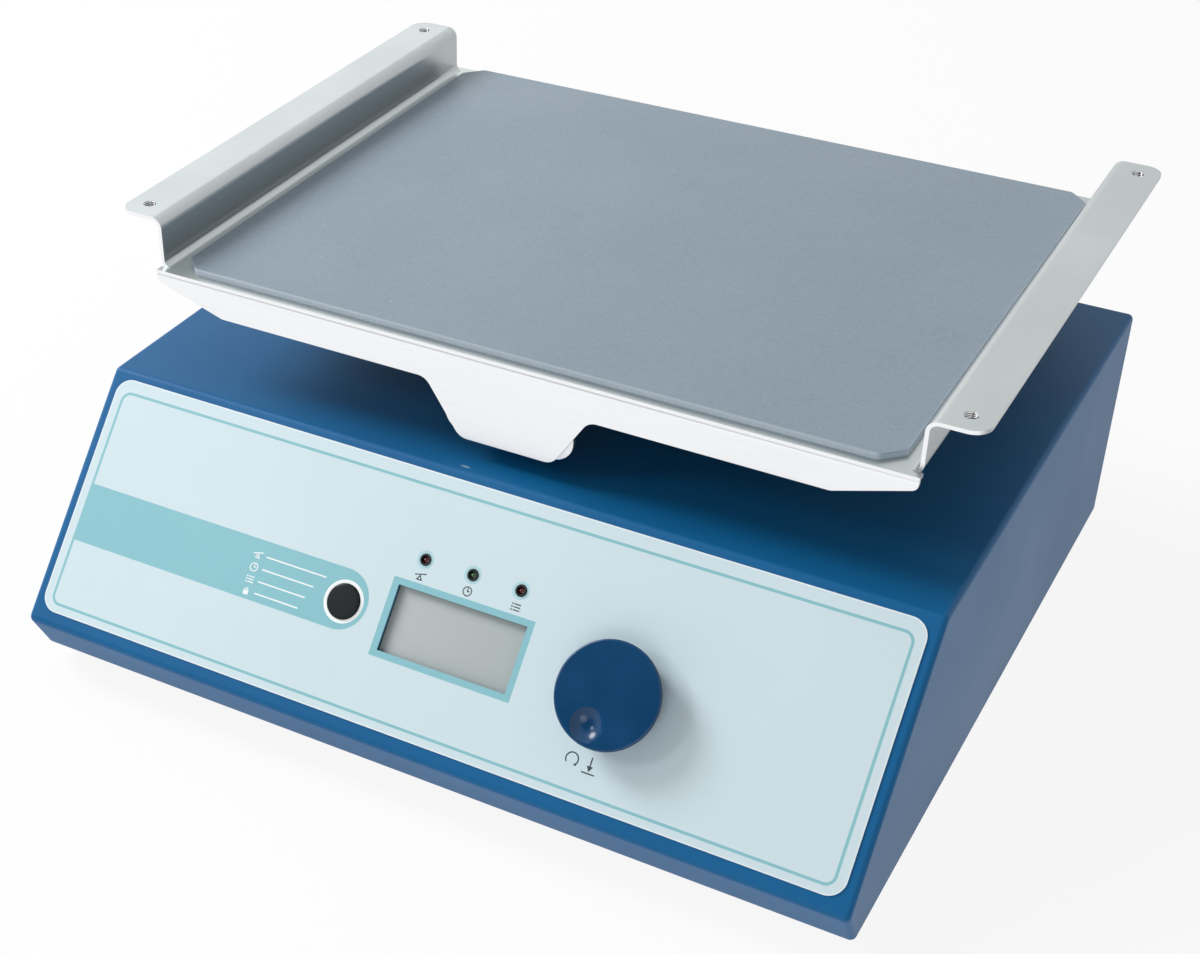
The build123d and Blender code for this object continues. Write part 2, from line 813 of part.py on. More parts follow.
with BuildPart() as tray_sheet_metal:
    # One side wall with its flange, folded from the floor
    with BuildSketch(facing(wall_start_y)):
        with BuildLine():
            Polyline(
                (wall_x - 3 * outer_bend, tray_under_z),
                (wall_x, tray_under_z),
                (wall_x, flange_under_z),
                (flange_half, flange_under_z),
                (flange_half, flange_z),
                (wall_inner_x, flange_z),
                (wall_inner_x, floor_z),
                (wall_x - 3 * outer_bend, floor_z),
                close=True,
            )
        make_face()
        sheet_corner(wall_x, tray_under_z, outer_bend)
        sheet_corner(wall_inner_x, floor_z, tray_bend)
        sheet_corner(wall_inner_x, flange_z, outer_bend)
        sheet_corner(wall_x, flange_under_z, tray_bend)
    extrude(amount=wall_start_y - wall_end_y)
    fillet(tray_sheet_metal.edges().filter_by(Axis.Z).sort_by(Axis.X)[-2:], flange_corner)
    mirror(about=Plane.YZ)
    with BuildSketch(Plane.XY.offset(tray_under_z)):
        with Locations((0, tray_y)):
            Rectangle(tray_width - 2 * outer_bend, tray_depth)
        for y in (tray_front_y + tray_wall_setback / 2, tray_back_y - tray_wall_setback / 2):
            with Locations((0, y)):
                Rectangle(tray_width, tray_wall_setback)
    extrude(amount=tray_sheet)
    # Front apron, with its tab over the pivot
    with BuildSketch(facing(tray_front_y)):
        with BuildLine():
            right = Polyline(
                (0, floor_z),
                (wall_x, floor_z),
                (wall_x, floor_z - apron_end_depth),
                (wall_x - apron_taper_run, floor_z - apron_depth),
                (tab_top_width / 2, floor_z - apron_depth),
                (tab_bottom_width / 2, floor_z - tab_depth),
                (0, floor_z - tab_depth),
            )
            mirror(right, about=Plane.YZ)
        make_face()
        fillet(vertices().filter_by(lambda v: abs(v.X) < wall_inner_x and v.Y < apron_line_z), tab_corner)
        fillet(vertices().filter_by(lambda v: abs(v.X) > wall_inner_x and v.Y < apron_line_z), tray_bend)
    extrude(amount=-tray_sheet)
    fillet(tray_sheet_metal.edges().filter_by(Axis.X).group_by(Axis.Y)[0].sort_by(Axis.Z)[-1], apron_bend)
    mirror(about=tray_middle)
    # Tapped holes in the flanges, each through a drawn boss
    with BuildSketch(Plane.XY.offset(flange_under_z)):
        with Locations(*flange_points):
            Circle(flange_hole_diameter / 2 + flange_boss_wall)
    extrude(amount=-flange_boss_height)
    with BuildSketch(Plane.XY.offset(flange_z)):
        with Locations(*flange_points):
            Circle(flange_hole_diameter / 2)
    extrude(amount=-tray_sheet - flange_boss_height, mode=Mode.SUBTRACT)
    with Locations(*[(x, y, floor_z) for x, y in cradle_screw_points]):
        CounterSinkHole(
            radius=m3 / 2 + hole_play,
            counter_sink_radius=head_diameter(m3) / 2 + hole_play,
            depth=2 * tray_sheet,
            counter_sink_angle=90,
        )

with BuildPart() as mat:
    with BuildSketch(Plane.XY.offset(floor_z)):
        with Locations((0, mat_y)):
            Rectangle(mat_width, mat_depth)
        chamfer(vertices(), mat_corner_cut)
        fillet(vertices(), mat_corner_round)
    extrude(amount=mat_thickness)
    fillet(mat.edges().group_by(Axis.Z)[-1], mat_edge_round)

lug_tip_z = pivot_z - cradle_bottom_reach
with BuildPart() as cradle:
    with BuildSketch(facing(tray_y - lug_outer_y)):
        with Locations((0, (tray_under_z + cradle_under_z - cradle_flange_depth) / 2)):
            Rectangle(cradle_width, cradle_sheet + cradle_flange_depth)
        with Locations((0, cradle_under_z - cradle_flange_depth / 2)):
            Rectangle(cradle_width - 2 * cradle_sheet, cradle_flange_depth, mode=Mode.SUBTRACT)
    extrude(amount=-2 * lug_outer_y)
    fillet(cradle.edges().filter_by(Axis.Y).group_by(Axis.Z)[-1], cradle_sheet)
    with BuildSketch(facing(tray_y - lug_outer_y)):
        with Locations((0, (tray_under_z - cradle_sheet + lug_tip_z) / 2)):
            Rectangle(cradle_width, tray_under_z - cradle_sheet - lug_tip_z)
        fillet(vertices().group_by(Axis.Y)[0], cradle_corner)
    extrude(amount=-cradle_sheet)
    with BuildSketch(facing(tray_y - lug_outer_y)):
        with Locations((0, pivot_z)):
            Circle(pivot_diameter / 2 + thread_play)
    extrude(amount=-cradle_sheet, mode=Mode.SUBTRACT)
    mirror(about=tray_middle)
    with BuildSketch(facing(tray_y + lug_outer_y)):
        with Locations((0, pivot_z)):
            Circle(pivot_diameter / 2 + thread_play)
    extrude(amount=cradle_sheet, mode=Mode.SUBTRACT)
    with BuildSketch(Plane.XY.offset(tray_under_z)):
        with Locations(*cradle_screw_points):
            Circle(m3 / 2)
        with Locations(*lever_screw_points):
            Circle(m4 / 2)
    extrude(amount=-cradle_sheet, mode=Mode.SUBTRACT)

with BuildPart() as cradle_screws:
    with Locations(*[(x, y, floor_z) for x, y in cradle_screw_points]):
        add(flat_screw(m3, tray_sheet + cradle_sheet + screw_tail))


def pivot_post(side):
    """A post on the housing top that carries one pivot bush; side is -1 in front, 1 behind."""
    with BuildPart() as post:
        with BuildSketch(facing(tray_y + side * post_face_y)):
            with Locations((0, top_z + pivot_lift / 2)):
                Rectangle(post_width, pivot_lift)
            with Locations((0, pivot_z)):
                Circle(post_width / 2)
        extrude(amount=side * post_thickness)
        with BuildSketch(facing(tray_y + side * post_face_y)):
            with Locations((0, pivot_z)):
                Circle(bush_diameter / 2 + thread_play)
        extrude(amount=side * post_thickness, mode=Mode.SUBTRACT)
        with BuildSketch(Plane.XY.offset(top_z)):
            with Locations(*[(i * post_screw_spacing / 2, tray_y + side * post_y) for i in (-1, 1)]):
                Circle(m4 / 2)
        extrude(amount=post_screw_reach, mode=Mode.SUBTRACT)
    return post


front_post = pivot_post(-1)
back_post = pivot_post(1)

with BuildPart() as post_screws:
    with Locations(*[facing_down(x, y, top_z - housing_sheet) for x, y in post_points]):
        add(pan_screw(m4, housing_sheet + post_screw_reach - screw_end_gap))

with BuildPart() as pivot_bushes:
    for side in (-1, 1):
        with BuildSketch(facing(tray_y + side * post_face_y)):
            with Locations((0, pivot_z)):
                Circle(bush_diameter / 2)
        extrude(amount=side * post_thickness)
        with BuildSketch(facing(tray_y + side * post_face_y)):
            with Locations((0, pivot_z)):
                Circle(bush_flange_diameter / 2)
        extrude(amount=-side * (post_setback - bush_lug_gap))
        with BuildSketch(facing(tray_y + side * lug_inner_y)):
            with Locations((0, pivot_z)):
                Circle(pivot_diameter / 2 + running_play)
        extrude(amount=side * (post_setback + post_thickness), mode=Mode.SUBTRACT)

clip_y = post_face_y - post_thickness - bush_lug_gap
pin_length = lug_outer_y - clip_y + clip_thickness + pin_tail
with BuildPart() as pivot_pins:
    for side in (-1, 1):
        with BuildSketch(facing(tray_y + side * lug_outer_y)):
            with Locations((0, pivot_z)):
                Circle(pivot_diameter / 2)
        extrude(amount=side * pin_length)
    for side in (-1, 1):
        with BuildSketch(facing(tray_y + side * clip_y)):
            with Locations((0, pivot_z)):
                Circle(pivot_diameter / 2)
                Circle(pivot_diameter / 2 - clip_groove_depth, mode=Mode.SUBTRACT)
        extrude(amount=side * clip_thickness, mode=Mode.SUBTRACT)

with BuildPart() as pin_clips:
    for side in (-1, 1):
        with BuildSketch(facing(tray_y + side * clip_y)):
            with Locations((0, pivot_z)):
                Circle(clip_diameter / 2)
                Circle(pivot_diameter / 2 - clip_groove_depth, mode=Mode.SUBTRACT)
            with Locations((0, pivot_z - clip_diameter / 2)):
                Rectangle(pivot_diameter * clip_mouth_ratio, clip_diameter, mode=Mode.SUBTRACT)
        extrude(amount=side * clip_thickness)

lever_front_y = drive_y - lever_thickness / 2
lever_back_y = drive_y + lever_thickness / 2
pin_near_reach = sqrt(crank_reach ** 2 + crank_radius ** 2)
with BuildPart() as drive_lever:
    with BuildSketch(facing(lever_front_y)):
        with Locations((0, (cradle_under_z + lever_tip_z) / 2)):
            Rectangle(lever_width, cradle_under_z - lever_tip_z)
        fillet(vertices().group_by(Axis.Y)[0], lever_width / 4)
        with Locations((0, pivot_z - (pin_near_reach + pin_reach) / 2)):
            SlotCenterToCenter(
                pin_reach - pin_near_reach, 2 * lever_slot_half, rotation=90, mode=Mode.SUBTRACT
            )
    extrude(amount=-lever_thickness)
    with BuildSketch(Plane.XY.offset(cradle_under_z)):
        with Locations((0, lever_back_y - lever_foot_length / 2)):
            Rectangle(lever_width, lever_foot_length)
        with Locations(*lever_screw_points):
            Circle(m4 / 2 + hole_play, mode=Mode.SUBTRACT)
    extrude(amount=-lever_thickness)

with BuildPart() as lever_screws:
    with Locations(*[facing_down(x, y, cradle_under_z - lever_thickness) for x, y in lever_screw_points]):
        add(pan_screw(m4, lever_thickness + cradle_sheet))

with BuildPart() as slot_collar:
    with BuildSketch(Plane.XY.offset(top_z)):
        with Locations((0, drive_y)):
            SlotOverall(lever_slot_length + 2 * collar_wall, lever_slot_width + 2 * collar_wall)
            SlotOverall(lever_slot_length, lever_slot_width, mode=Mode.SUBTRACT)
    extrude(amount=collar_height)
    fillet(slot_collar.edges().group_by(Axis.Z)[-1], collar_wall / 4)

# Crank, which turns on the gearbox shaft
with BuildPart() as crank_disc:
    with BuildSketch(facing(disc_front_y)):
        with Locations((0, crank_height)):
            Circle(crank_disc_diameter / 2)
    extrude(amount=-crank_disc_thickness)
    with BuildSketch(facing(disc_back_y)):
        with Locations((0, crank_height)):
            Circle(crank_hub_diameter / 2)
    extrude(amount=-crank_hub_length)
    with BuildSketch(facing(disc_front_y)):
        with Locations((0, crank_height)):
            Circle(output_shaft_diameter / 2 + thread_play)
        with Locations((0, crank_pin_z)):
            Circle(crank_pin_diameter / 2 + thread_play)
    extrude(amount=-crank_disc_thickness - crank_hub_length, mode=Mode.SUBTRACT)

pin_head_y = drive_y - roller_width / 2 - bush_lug_gap
roller_back_y = drive_y + roller_width / 2
with BuildPart() as crank_pin:
    with BuildSketch(facing(pin_head_y - crank_pin_head_thickness)):
        with Locations((0, crank_pin_z)):
            Circle(crank_pin_head_diameter / 2)
    extrude(amount=-crank_pin_head_thickness)
    with BuildSketch(facing(pin_head_y)):
        with Locations((0, crank_pin_z)):
            Circle(crank_pin_diameter / 2)
    extrude(amount=pin_head_y - disc_back_y)
    with BuildSketch(facing(roller_back_y + bush_lug_gap / 2)):
        with Locations((0, crank_pin_z)):
            Circle(crank_pin_collar_diameter / 2)
    extrude(amount=roller_back_y + bush_lug_gap / 2 - disc_front_y)

with BuildPart() as crank_roller:
    with BuildSketch(facing(drive_y - roller_width / 2)):
        with Locations((0, crank_pin_z)):
            Circle(roller_diameter / 2)
            Circle(crank_pin_diameter / 2 + running_play, mode=Mode.SUBTRACT)
    extrude(amount=-roller_width)

speed_disc_y = hub_back_y - crank_hub_length / 2
with BuildPart() as speed_disc:
    with BuildSketch(facing(speed_disc_y)):
        with Locations((0, crank_height)):
            Circle(speed_disc_diameter / 2)
            Circle(crank_hub_diameter / 2 + thread_play, mode=Mode.SUBTRACT)
            with PolarLocations(speed_disc_diameter / 2 - speed_slot_inset, speed_disc_slots):
                Rectangle(speed_slot_length, speed_slot_width, mode=Mode.SUBTRACT)
    extrude(amount=-speed_disc_thickness)

with BuildPart() as output_shaft:
    with BuildSketch(facing(disc_front_y)):
        with Locations((0, crank_height)):
            Circle(output_shaft_diameter / 2)
    extrude(amount=disc_front_y - bracket_back_y - gearbox_depth / 2)

# Motor and gearbox on their bracket
bracket_top_z = top_z - housing_sheet - bracket_top_gap
with BuildPart() as motor_bracket:
    with BuildSketch(facing(bracket_front_y)):
        with Locations((0, (bracket_top_z + base_top_z) / 2)):
            Rectangle(bracket_width, bracket_top_z - base_top_z)
        fillet(vertices().group_by(Axis.Y)[-1], gearbox_corner)
        with Locations((0, crank_height)):
            Circle(gearbox_boss_diameter / 2 + hole_play, mode=Mode.SUBTRACT)
        with Locations(*gearbox_points):
            Circle(m4 / 2 + hole_play, mode=Mode.SUBTRACT)
    extrude(amount=-bracket_thickness)
    with BuildSketch(Plane.XY.offset(base_top_z)):
        with Locations((0, bracket_back_y - bracket_foot / 2)):
            Rectangle(bracket_width, bracket_foot)
        with Locations(*bracket_points):
            Circle(m4 / 2, mode=Mode.SUBTRACT)
    extrude(amount=bracket_thickness)
    for side in (-1, 1):
        with BuildSketch(Plane.YZ.offset(side * (bracket_width - bracket_thickness) / 2)):
            with BuildLine():
                Polyline(
                    (bracket_front_y, base_top_z + bracket_thickness),
                    (bracket_back_y - bracket_foot, base_top_z + bracket_thickness),
                    (bracket_front_y, crank_height),
                    close=True,
                )
            make_face()
        extrude(amount=bracket_thickness / 2, both=True)

with BuildPart() as gearbox:
    with BuildSketch(facing(bracket_back_y)):
        with Locations((0, crank_height)):
            RectangleRounded(gearbox_size, gearbox_size, gearbox_corner)
    extrude(amount=-gearbox_depth)
    fillet(gearbox.edges().group_by(Axis.Y)[-1], body_edge_round)
    with BuildSketch(facing(bracket_front_y)):
        with Locations((0, crank_height)):
            Circle(gearbox_boss_diameter / 2)
    extrude(amount=-bracket_thickness)
    with BuildSketch(facing(bracket_front_y)):
        with Locations((0, crank_height)):
            Circle(output_shaft_diameter / 2 + running_play)
    extrude(amount=-bracket_thickness - gearbox_depth / 2 - screw_end_gap, mode=Mode.SUBTRACT)
    with BuildSketch(facing(bracket_back_y)):
        with Locations(*gearbox_points):
            Circle(m4 / 2)
    extrude(amount=-gearbox_depth / 2, mode=Mode.SUBTRACT)

with BuildPart() as motor_screws:
    with Locations(*[facing_down(x, y, rim_z) for x, y in bracket_points]):
        add(pan_screw(m4, base_sheet + bracket_thickness))
    with Locations(*[Location((x, bracket_front_y, z), (90, 0, 0)) for x, z in gearbox_points]):
        add(pan_screw(m4, bracket_thickness + gearbox_depth / 3))

with BuildPart() as motor_can:
    with BuildSketch(facing(gearbox_back_y)):
        with Locations((0, crank_height)):
            Circle(motor_diameter / 2)
    extrude(amount=-motor_length)
    fillet(motor_can.edges().group_by(Axis.Y)[-1], body_edge_round)

with BuildPart() as motor_cap:
    with BuildSketch(facing(motor_back_y)):
        with Locations((0, crank_height)):
            Circle(motor_diameter / 2 - 2 * motor_cap_inset)
            with Locations((motor_terminal_x / 2, 0)):
                Rectangle(-motor_terminal_x, 2 * lead_diameter)
    extrude(amount=-motor_cap_length)
    fillet(motor_cap.edges().group_by(Axis.Y)[-1], body_edge_round / 2)

disc_top_z = crank_height + speed_disc_diameter / 2
sensor_top_z = disc_top_z + sensor_bridge
sensor_low_z = disc_top_z - sensor_overlap
sensor_front_y = speed_disc_y - sensor_overlap / 2
with BuildPart() as speed_sensor:
    with BuildSketch(Plane.XY.offset(sensor_low_z)):
        with Locations((0, (sensor_front_y + bracket_front_y) / 2)):
            Rectangle(sensor_width, bracket_front_y - sensor_front_y)
    extrude(amount=sensor_top_z - sensor_low_z)
    with BuildSketch(Plane.XY.offset(sensor_low_z)):
        with Locations((0, speed_disc_y + speed_disc_thickness / 2)):
            Rectangle(sensor_width, speed_disc_thickness + 2 * sensor_play)
    extrude(amount=sensor_overlap + sensor_play, mode=Mode.SUBTRACT)

# Supply board and what stands on it
with BuildPart() as supply_board:
    with BuildSketch(Plane.XY.offset(supply_z)):
        with Locations((supply_x, supply_y)):
            RectangleRounded(supply_width, supply_length, board_corner)
        with Locations(*supply_points):
            Circle(m3 / 2 + hole_play, mode=Mode.SUBTRACT)
    extrude(amount=board_thickness)

core_y = supply_y - supply_length / 4
capacitor_y = core_y + transformer_length / 2 + capacitor_diameter / 2
heat_sink_y = capacitor_y + capacitor_diameter / 2 + 2 * heat_sink_base
terminal_y = heat_sink_y + heat_sink_depth + terminal_depth
core_z = supply_top_z + transformer_height / 2
fin_pitch = (heat_sink_width - fin_thickness) / (heat_sink_fins - 1)
with BuildPart() as transformer_core:
    with BuildSketch(facing(core_y - core_thickness / 2)):
        with Locations((supply_x, core_z)):
            Rectangle(transformer_width, transformer_height)
            with GridLocations(core_centre_leg + core_window_width, 0, 2, 1):
                Rectangle(core_window_width, core_window_height, mode=Mode.SUBTRACT)
    extrude(amount=-core_thickness)

coil_width = core_window_width - 2 * coil_play
coil_height = core_window_height - 2 * coil_play
with BuildPart() as transformer_coil:
    with BuildSketch(Plane.XY.offset(core_z - coil_height / 2)):
        with Locations((supply_x, core_y)):
            RectangleRounded(
                core_centre_leg + 2 * coil_play + 2 * coil_width,
                core_thickness + 2 * coil_play + 2 * coil_width,
                coil_width / 2,
            )
            Rectangle(core_centre_leg + 2 * coil_play, core_thickness + 2 * coil_play, mode=Mode.SUBTRACT)
    extrude(amount=coil_height)

with BuildPart() as supply_capacitors:
    for i in (-1, 0, 1):
        with BuildSketch(Plane.XY.offset(supply_top_z)):
            with Locations((supply_x + i * capacitor_pitch, capacitor_y)):
                Circle(capacitor_diameter / 2)
        extrude(amount=capacitor_height)
    fillet(supply_capacitors.edges().group_by(Axis.Z)[-1], capacitor_edge_round)

with BuildPart() as heat_sink:
    with BuildSketch(Plane.XY.offset(supply_top_z)):
        with Locations((supply_x, heat_sink_y)):
            Rectangle(heat_sink_width, heat_sink_base)
        with Locations((supply_x, heat_sink_y + heat_sink_depth / 2)):
            with GridLocations(fin_pitch, 0, heat_sink_fins, 1):
                Rectangle(fin_thickness, heat_sink_depth)
    extrude(amount=heat_sink_height)

# Back panel
outer_back = facing(back_y)
inlet_face_y = back_y + inlet_flange_thickness
with BuildPart() as mains_inlet:
    with BuildSketch(outer_back):
        with Locations((inlet_x, inlet_z)):
            RectangleRounded(inlet_flange_width, inlet_flange_height, inlet_corner)
    extrude(amount=-inlet_flange_thickness)
    fillet(mains_inlet.edges().group_by(Axis.Y)[-1], inlet_edge_round)
    with BuildSketch(outer_back):
        with Locations((inlet_x, inlet_z)):
            Rectangle(inlet_body_width, inlet_body_height)
    extrude(amount=inlet_body_depth)
    with BuildSketch(facing(inlet_face_y)):
        with Locations((inlet_x, inlet_z)):
            RectangleRounded(inlet_socket_width, inlet_socket_height, inlet_socket_corner)
    extrude(amount=inlet_socket_depth + inlet_flange_thickness, mode=Mode.SUBTRACT)
    with BuildSketch(facing(inlet_face_y)):
        with Locations(*inlet_points):
            Circle(m3 / 2 + hole_play)
    extrude(amount=2 * inlet_flange_thickness, mode=Mode.SUBTRACT)

blade_places = [(i * inlet_pin_pitch, inlet_pin_drop * (1 - 2 * abs(i))) for i in (-1, 0, 1)]
with BuildPart() as inlet_blades:
    for x, z in blade_places:
        with BuildSketch(facing(back_y - inlet_socket_depth)):
            with Locations((inlet_x + x, inlet_z + z)):
                Rectangle(blade_thickness, blade_width)
        extrude(amount=-(inlet_socket_depth - blade_recess))

with BuildPart() as inlet_screws:
    with Locations(*[Location((x, inlet_face_y, z), (-90, 0, 0)) for x, z in inlet_points]):
        add(pan_screw(m3, inlet_flange_thickness + 2 * housing_sheet))

with BuildPart() as switch_frame:
    with BuildSketch(outer_back):
        with Locations((switch_x, switch_z)):
            RectangleRounded(switch_flange_width, switch_flange_height, switch_wall)
    extrude(amount=-switch_flange_thickness)
    fillet(switch_frame.edges().group_by(Axis.Y)[-1], switch_edge_round)
    with BuildSketch(outer_back):
        with Locations((switch_x, switch_z)):
            Rectangle(switch_body_width, switch_body_height)
    extrude(amount=switch_body_depth)
    with BuildSketch(facing(back_y + switch_flange_thickness)):
        with Locations((switch_x, switch_z)):
            Rectangle(switch_body_width - 2 * switch_wall, switch_body_height - 2 * switch_wall)
    extrude(amount=switch_body_depth + switch_flange_thickness - switch_wall, mode=Mode.SUBTRACT)

# The rocker: a see-saw key with its lower half pressed in
rocker_pivot_y = back_y - rocker_pivot_depth
tilt = radians(rocker_angle / 2)
rocker_dip = rocker_pivot_depth + switch_flange_thickness + rocker_proud
rocker_room = switch_body_height / 2 - switch_wall - rocker_play
rocker_half = (rocker_room - rocker_dip * sin(tilt)) * cos(tilt)
rocker_tip = rocker_dip + rocker_half * tan(tilt)
rocker_plane = Plane(
    origin=(switch_x, rocker_pivot_y, switch_z), x_dir=(0, cos(tilt), -sin(tilt)), z_dir=(1, 0, 0)
)
with BuildPart() as mains_rocker:
    with BuildSketch(rocker_plane):
        with BuildLine():
            Polyline(
                (0, -rocker_half),
                (rocker_tip, -rocker_half),
                (rocker_dip, 0),
                (rocker_tip, rocker_half),
                (0, rocker_half),
                close=True,
            )
        make_face()
    extrude(amount=switch_body_width / 2 - switch_wall - rocker_play, both=True)
    fillet(mains_rocker.edges().filter_by(Axis.X).sort_by(Axis.Y)[-2:], rocker_play)

# Inner leads, and the connectors that they end in
terminal_top_z = supply_top_z + terminal_height
lead_z = inlet_z + lead_rise
inlet_back_y = back_y - inlet_body_depth
switch_back_y = back_y - switch_body_depth
ribbon_level = supply_top_z + terminal_height / 2
ribbon_end_y = supply_y - supply_length / 2
ribbon_start = front.from_local_coords((ribbon_x, board_v, -board_depth - board_thickness - plug_height))
ribbon_turn_y = ribbon_start.Y + (ribbon_start.Z - ribbon_level) * tan(slope)
motor_plug_x = supply_x + supply_width / 2 - 2 * lead_diameter
motor_plug_y = heat_sink_y
motor_lead_y = motor_back_y + motor_cap_length / 2


def lead(points, radius, diameter):
    """A round lead along straight runs joined by arcs."""
    with BuildPart() as cable:
        with BuildLine() as route:
            FilletPolyline(*points, radius=radius)
        with BuildSketch(Plane(origin=route.line @ 0, z_dir=route.line % 0)):
            Circle(diameter / 2)
        sweep()
    return cable.part


mains_routes = [
    [(x, y, lead_z), (x, terminal_y, lead_z), (x, terminal_y, terminal_top_z)]
    for x, y in ((inlet_x, inlet_back_y), (switch_x, switch_back_y))
]
with BuildPart() as mains_leads:
    for route_points in mains_routes:
        add(lead(route_points, mains_lead_bend, lead_diameter))

motor_route = [
    (motor_terminal_x, motor_lead_y, crank_height),
    (motor_plug_x, motor_lead_y, crank_height),
    (motor_plug_x, motor_plug_y, crank_height),
    (motor_plug_x, motor_plug_y, supply_top_z + plug_height),
]
with BuildPart() as motor_lead:
    add(lead(motor_route, motor_lead_bend, lead_diameter))

with BuildPart() as ribbon_cable:
    with BuildLine() as ribbon_route:
        FilletPolyline(
            ribbon_start,
            (ribbon_x, ribbon_turn_y, ribbon_level),
            (ribbon_x, ribbon_end_y, ribbon_level),
            radius=ribbon_bend,
        )
    with BuildSketch(
        Plane(origin=ribbon_route.line @ 0, x_dir=(1, 0, 0), z_dir=ribbon_route.line % 0)
    ):
        Rectangle(ribbon_width, ribbon_thickness)
    sweep()

# Dark plastic parts on both boards: chips (x, v, width, length, height), terminals and plugs
chip_sizes = [
    (-30, 20, 14, 14, 2),
    (8, 22, 10, 18, 3),
    (40, 18, 20, 8, 3),
    (-2, -24, 24, 9, 6),
    (46, -24, 12, 12, 4),
]
with BuildPart() as board_parts:
    for x, v, width, length, height in chip_sizes:
        with BuildSketch(board_back):
            with Locations((board_x + x, board_v + v)):
                RectangleRounded(width, length, chip_corner)
        extrude(amount=-height)
    with BuildSketch(board_back):
        with Locations((ribbon_x, board_v)):
            Rectangle(ribbon_width + 2 * plug_margin, plug_height)
    extrude(amount=-plug_height)
    with BuildSketch(Plane.XY.offset(supply_top_z)):
        with Locations(((inlet_x + switch_x) / 2, terminal_y)):
            Rectangle(switch_x - inlet_x + terminal_depth, terminal_depth)
    extrude(amount=terminal_height)
    with BuildSketch(Plane.XY.offset(supply_top_z)):
        with Locations((ribbon_x, ribbon_end_y + plug_height / 2)):
            Rectangle(ribbon_width + 2 * plug_margin, plug_height)
    extrude(amount=terminal_height - 2 * plug_margin)
    with BuildSketch(Plane.XY.offset(supply_top_z)):
        with Locations((motor_plug_x, motor_plug_y)):
            Rectangle(2 * lead_diameter, 3 * lead_diameter)
    extrude(amount=plug_height)

pieces = {
    "housing_shell": housing_shell,
    "base_plate": base_plate,
    "base_screws": base_screws,
    "rubber_feet": feet,
    "foot_screws": foot_screws,
    "control_overlay": control_overlay,
    "display_frame": display_frame,
    "display_glass": display_glass,
    "display_carrier": display_carrier,
    "control_board": control_board,
    "board_standoffs": board_standoffs,
    "board_screws": board_screws,
    "red_lamps": red_lamps,
    "green_lamp": green_lamp,
    "lamp_holders": lamp_holders,
    "mode_button": mode_button,
    "encoder_body": encoder_body,
    "encoder_nut": encoder_nut,
    "encoder_shaft": encoder_shaft,
    "encoder_plunger": encoder_plunger,
    "control_knob": control_knob,
    "tray": tray_sheet_metal,
    "mat": mat,
    "cradle": cradle,
    "cradle_screws": cradle_screws,
    "front_post": front_post,
    "back_post": back_post,
    "post_screws": post_screws,
    "pivot_bushes": pivot_bushes,
    "pivot_pins": pivot_pins,
    "pin_clips": pin_clips,
    "drive_lever": drive_lever,
    "lever_screws": lever_screws,
    "slot_collar": slot_collar,
    "crank_disc": crank_disc,
    "crank_pin": crank_pin,
    "crank_roller": crank_roller,
    "speed_disc": speed_disc,
    "output_shaft": output_shaft,
    "motor_bracket": motor_bracket,
    "gearbox": gearbox,
    "motor_can": motor_can,
    "motor_cap": motor_cap,
    "speed_sensor": speed_sensor,
    "supply_board": supply_board,
    "transformer_core": transformer_core,
    "transformer_coil": transformer_coil,
    "supply_capacitors": supply_capacitors,
    "heat_sink": heat_sink,
    "mains_inlet": mains_inlet,
    "inlet_blades": inlet_blades,
    "inlet_screws": inlet_screws,
    "switch_frame": switch_frame,
    "mains_rocker": mains_rocker,
    "panel_switches": panel_switches,
    "motor_screws": motor_screws,
    "board_parts": board_parts,
    "mains_leads": mains_leads,
    "motor_lead": motor_lead,
    "ribbon_cable": ribbon_cable,
}
for name, piece in pieces.items():
    piece.part.label = name
    export_step(piece.part, f"parts/{name}.step")
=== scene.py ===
from math import atan2, cos, pi, radians, sin, tan

import bmesh
import bpy
from mathutils import Matrix, Vector


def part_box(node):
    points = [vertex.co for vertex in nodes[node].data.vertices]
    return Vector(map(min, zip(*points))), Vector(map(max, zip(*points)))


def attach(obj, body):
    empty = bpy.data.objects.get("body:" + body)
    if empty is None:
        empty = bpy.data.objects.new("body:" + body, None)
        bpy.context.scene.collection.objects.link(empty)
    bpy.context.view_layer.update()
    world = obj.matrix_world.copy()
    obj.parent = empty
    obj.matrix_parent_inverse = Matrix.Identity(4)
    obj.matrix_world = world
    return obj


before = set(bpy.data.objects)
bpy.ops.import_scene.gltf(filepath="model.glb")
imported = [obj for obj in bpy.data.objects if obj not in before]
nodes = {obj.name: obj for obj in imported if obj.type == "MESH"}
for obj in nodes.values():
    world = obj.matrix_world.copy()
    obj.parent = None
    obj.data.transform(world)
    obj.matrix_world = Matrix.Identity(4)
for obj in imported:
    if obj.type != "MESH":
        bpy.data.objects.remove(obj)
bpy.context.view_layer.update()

MM = 0.001

# The sloping front, measured up the slope from the sharp edge of the nose
SLOPE_RISE = 80.5
SLOPE_RUN = 71.5
SLOPE = atan2(SLOPE_RISE, SLOPE_RUN)
OVERLAY_START = 5.7 * MM
OVERLAY_THICKNESS = 0.5 * MM
overlay_low, overlay_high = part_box("control_overlay")
NOSE_Y = overlay_low.y + OVERLAY_THICKNESS * sin(SLOPE) - OVERLAY_START * cos(SLOPE)
NOSE_Z = overlay_low.z - OVERLAY_START * sin(SLOPE)
WINDOW = (4.75 * MM, 47.05 * MM)
WINDOW_SIZE = (54.5 * MM, 25.9 * MM)
BUTTON = (-42.1 * MM, 47.2 * MM)
LAMP_V = 71.8 * MM
LAMPS_X = (-15.3 * MM, 4.9 * MM, 25.1 * MM)

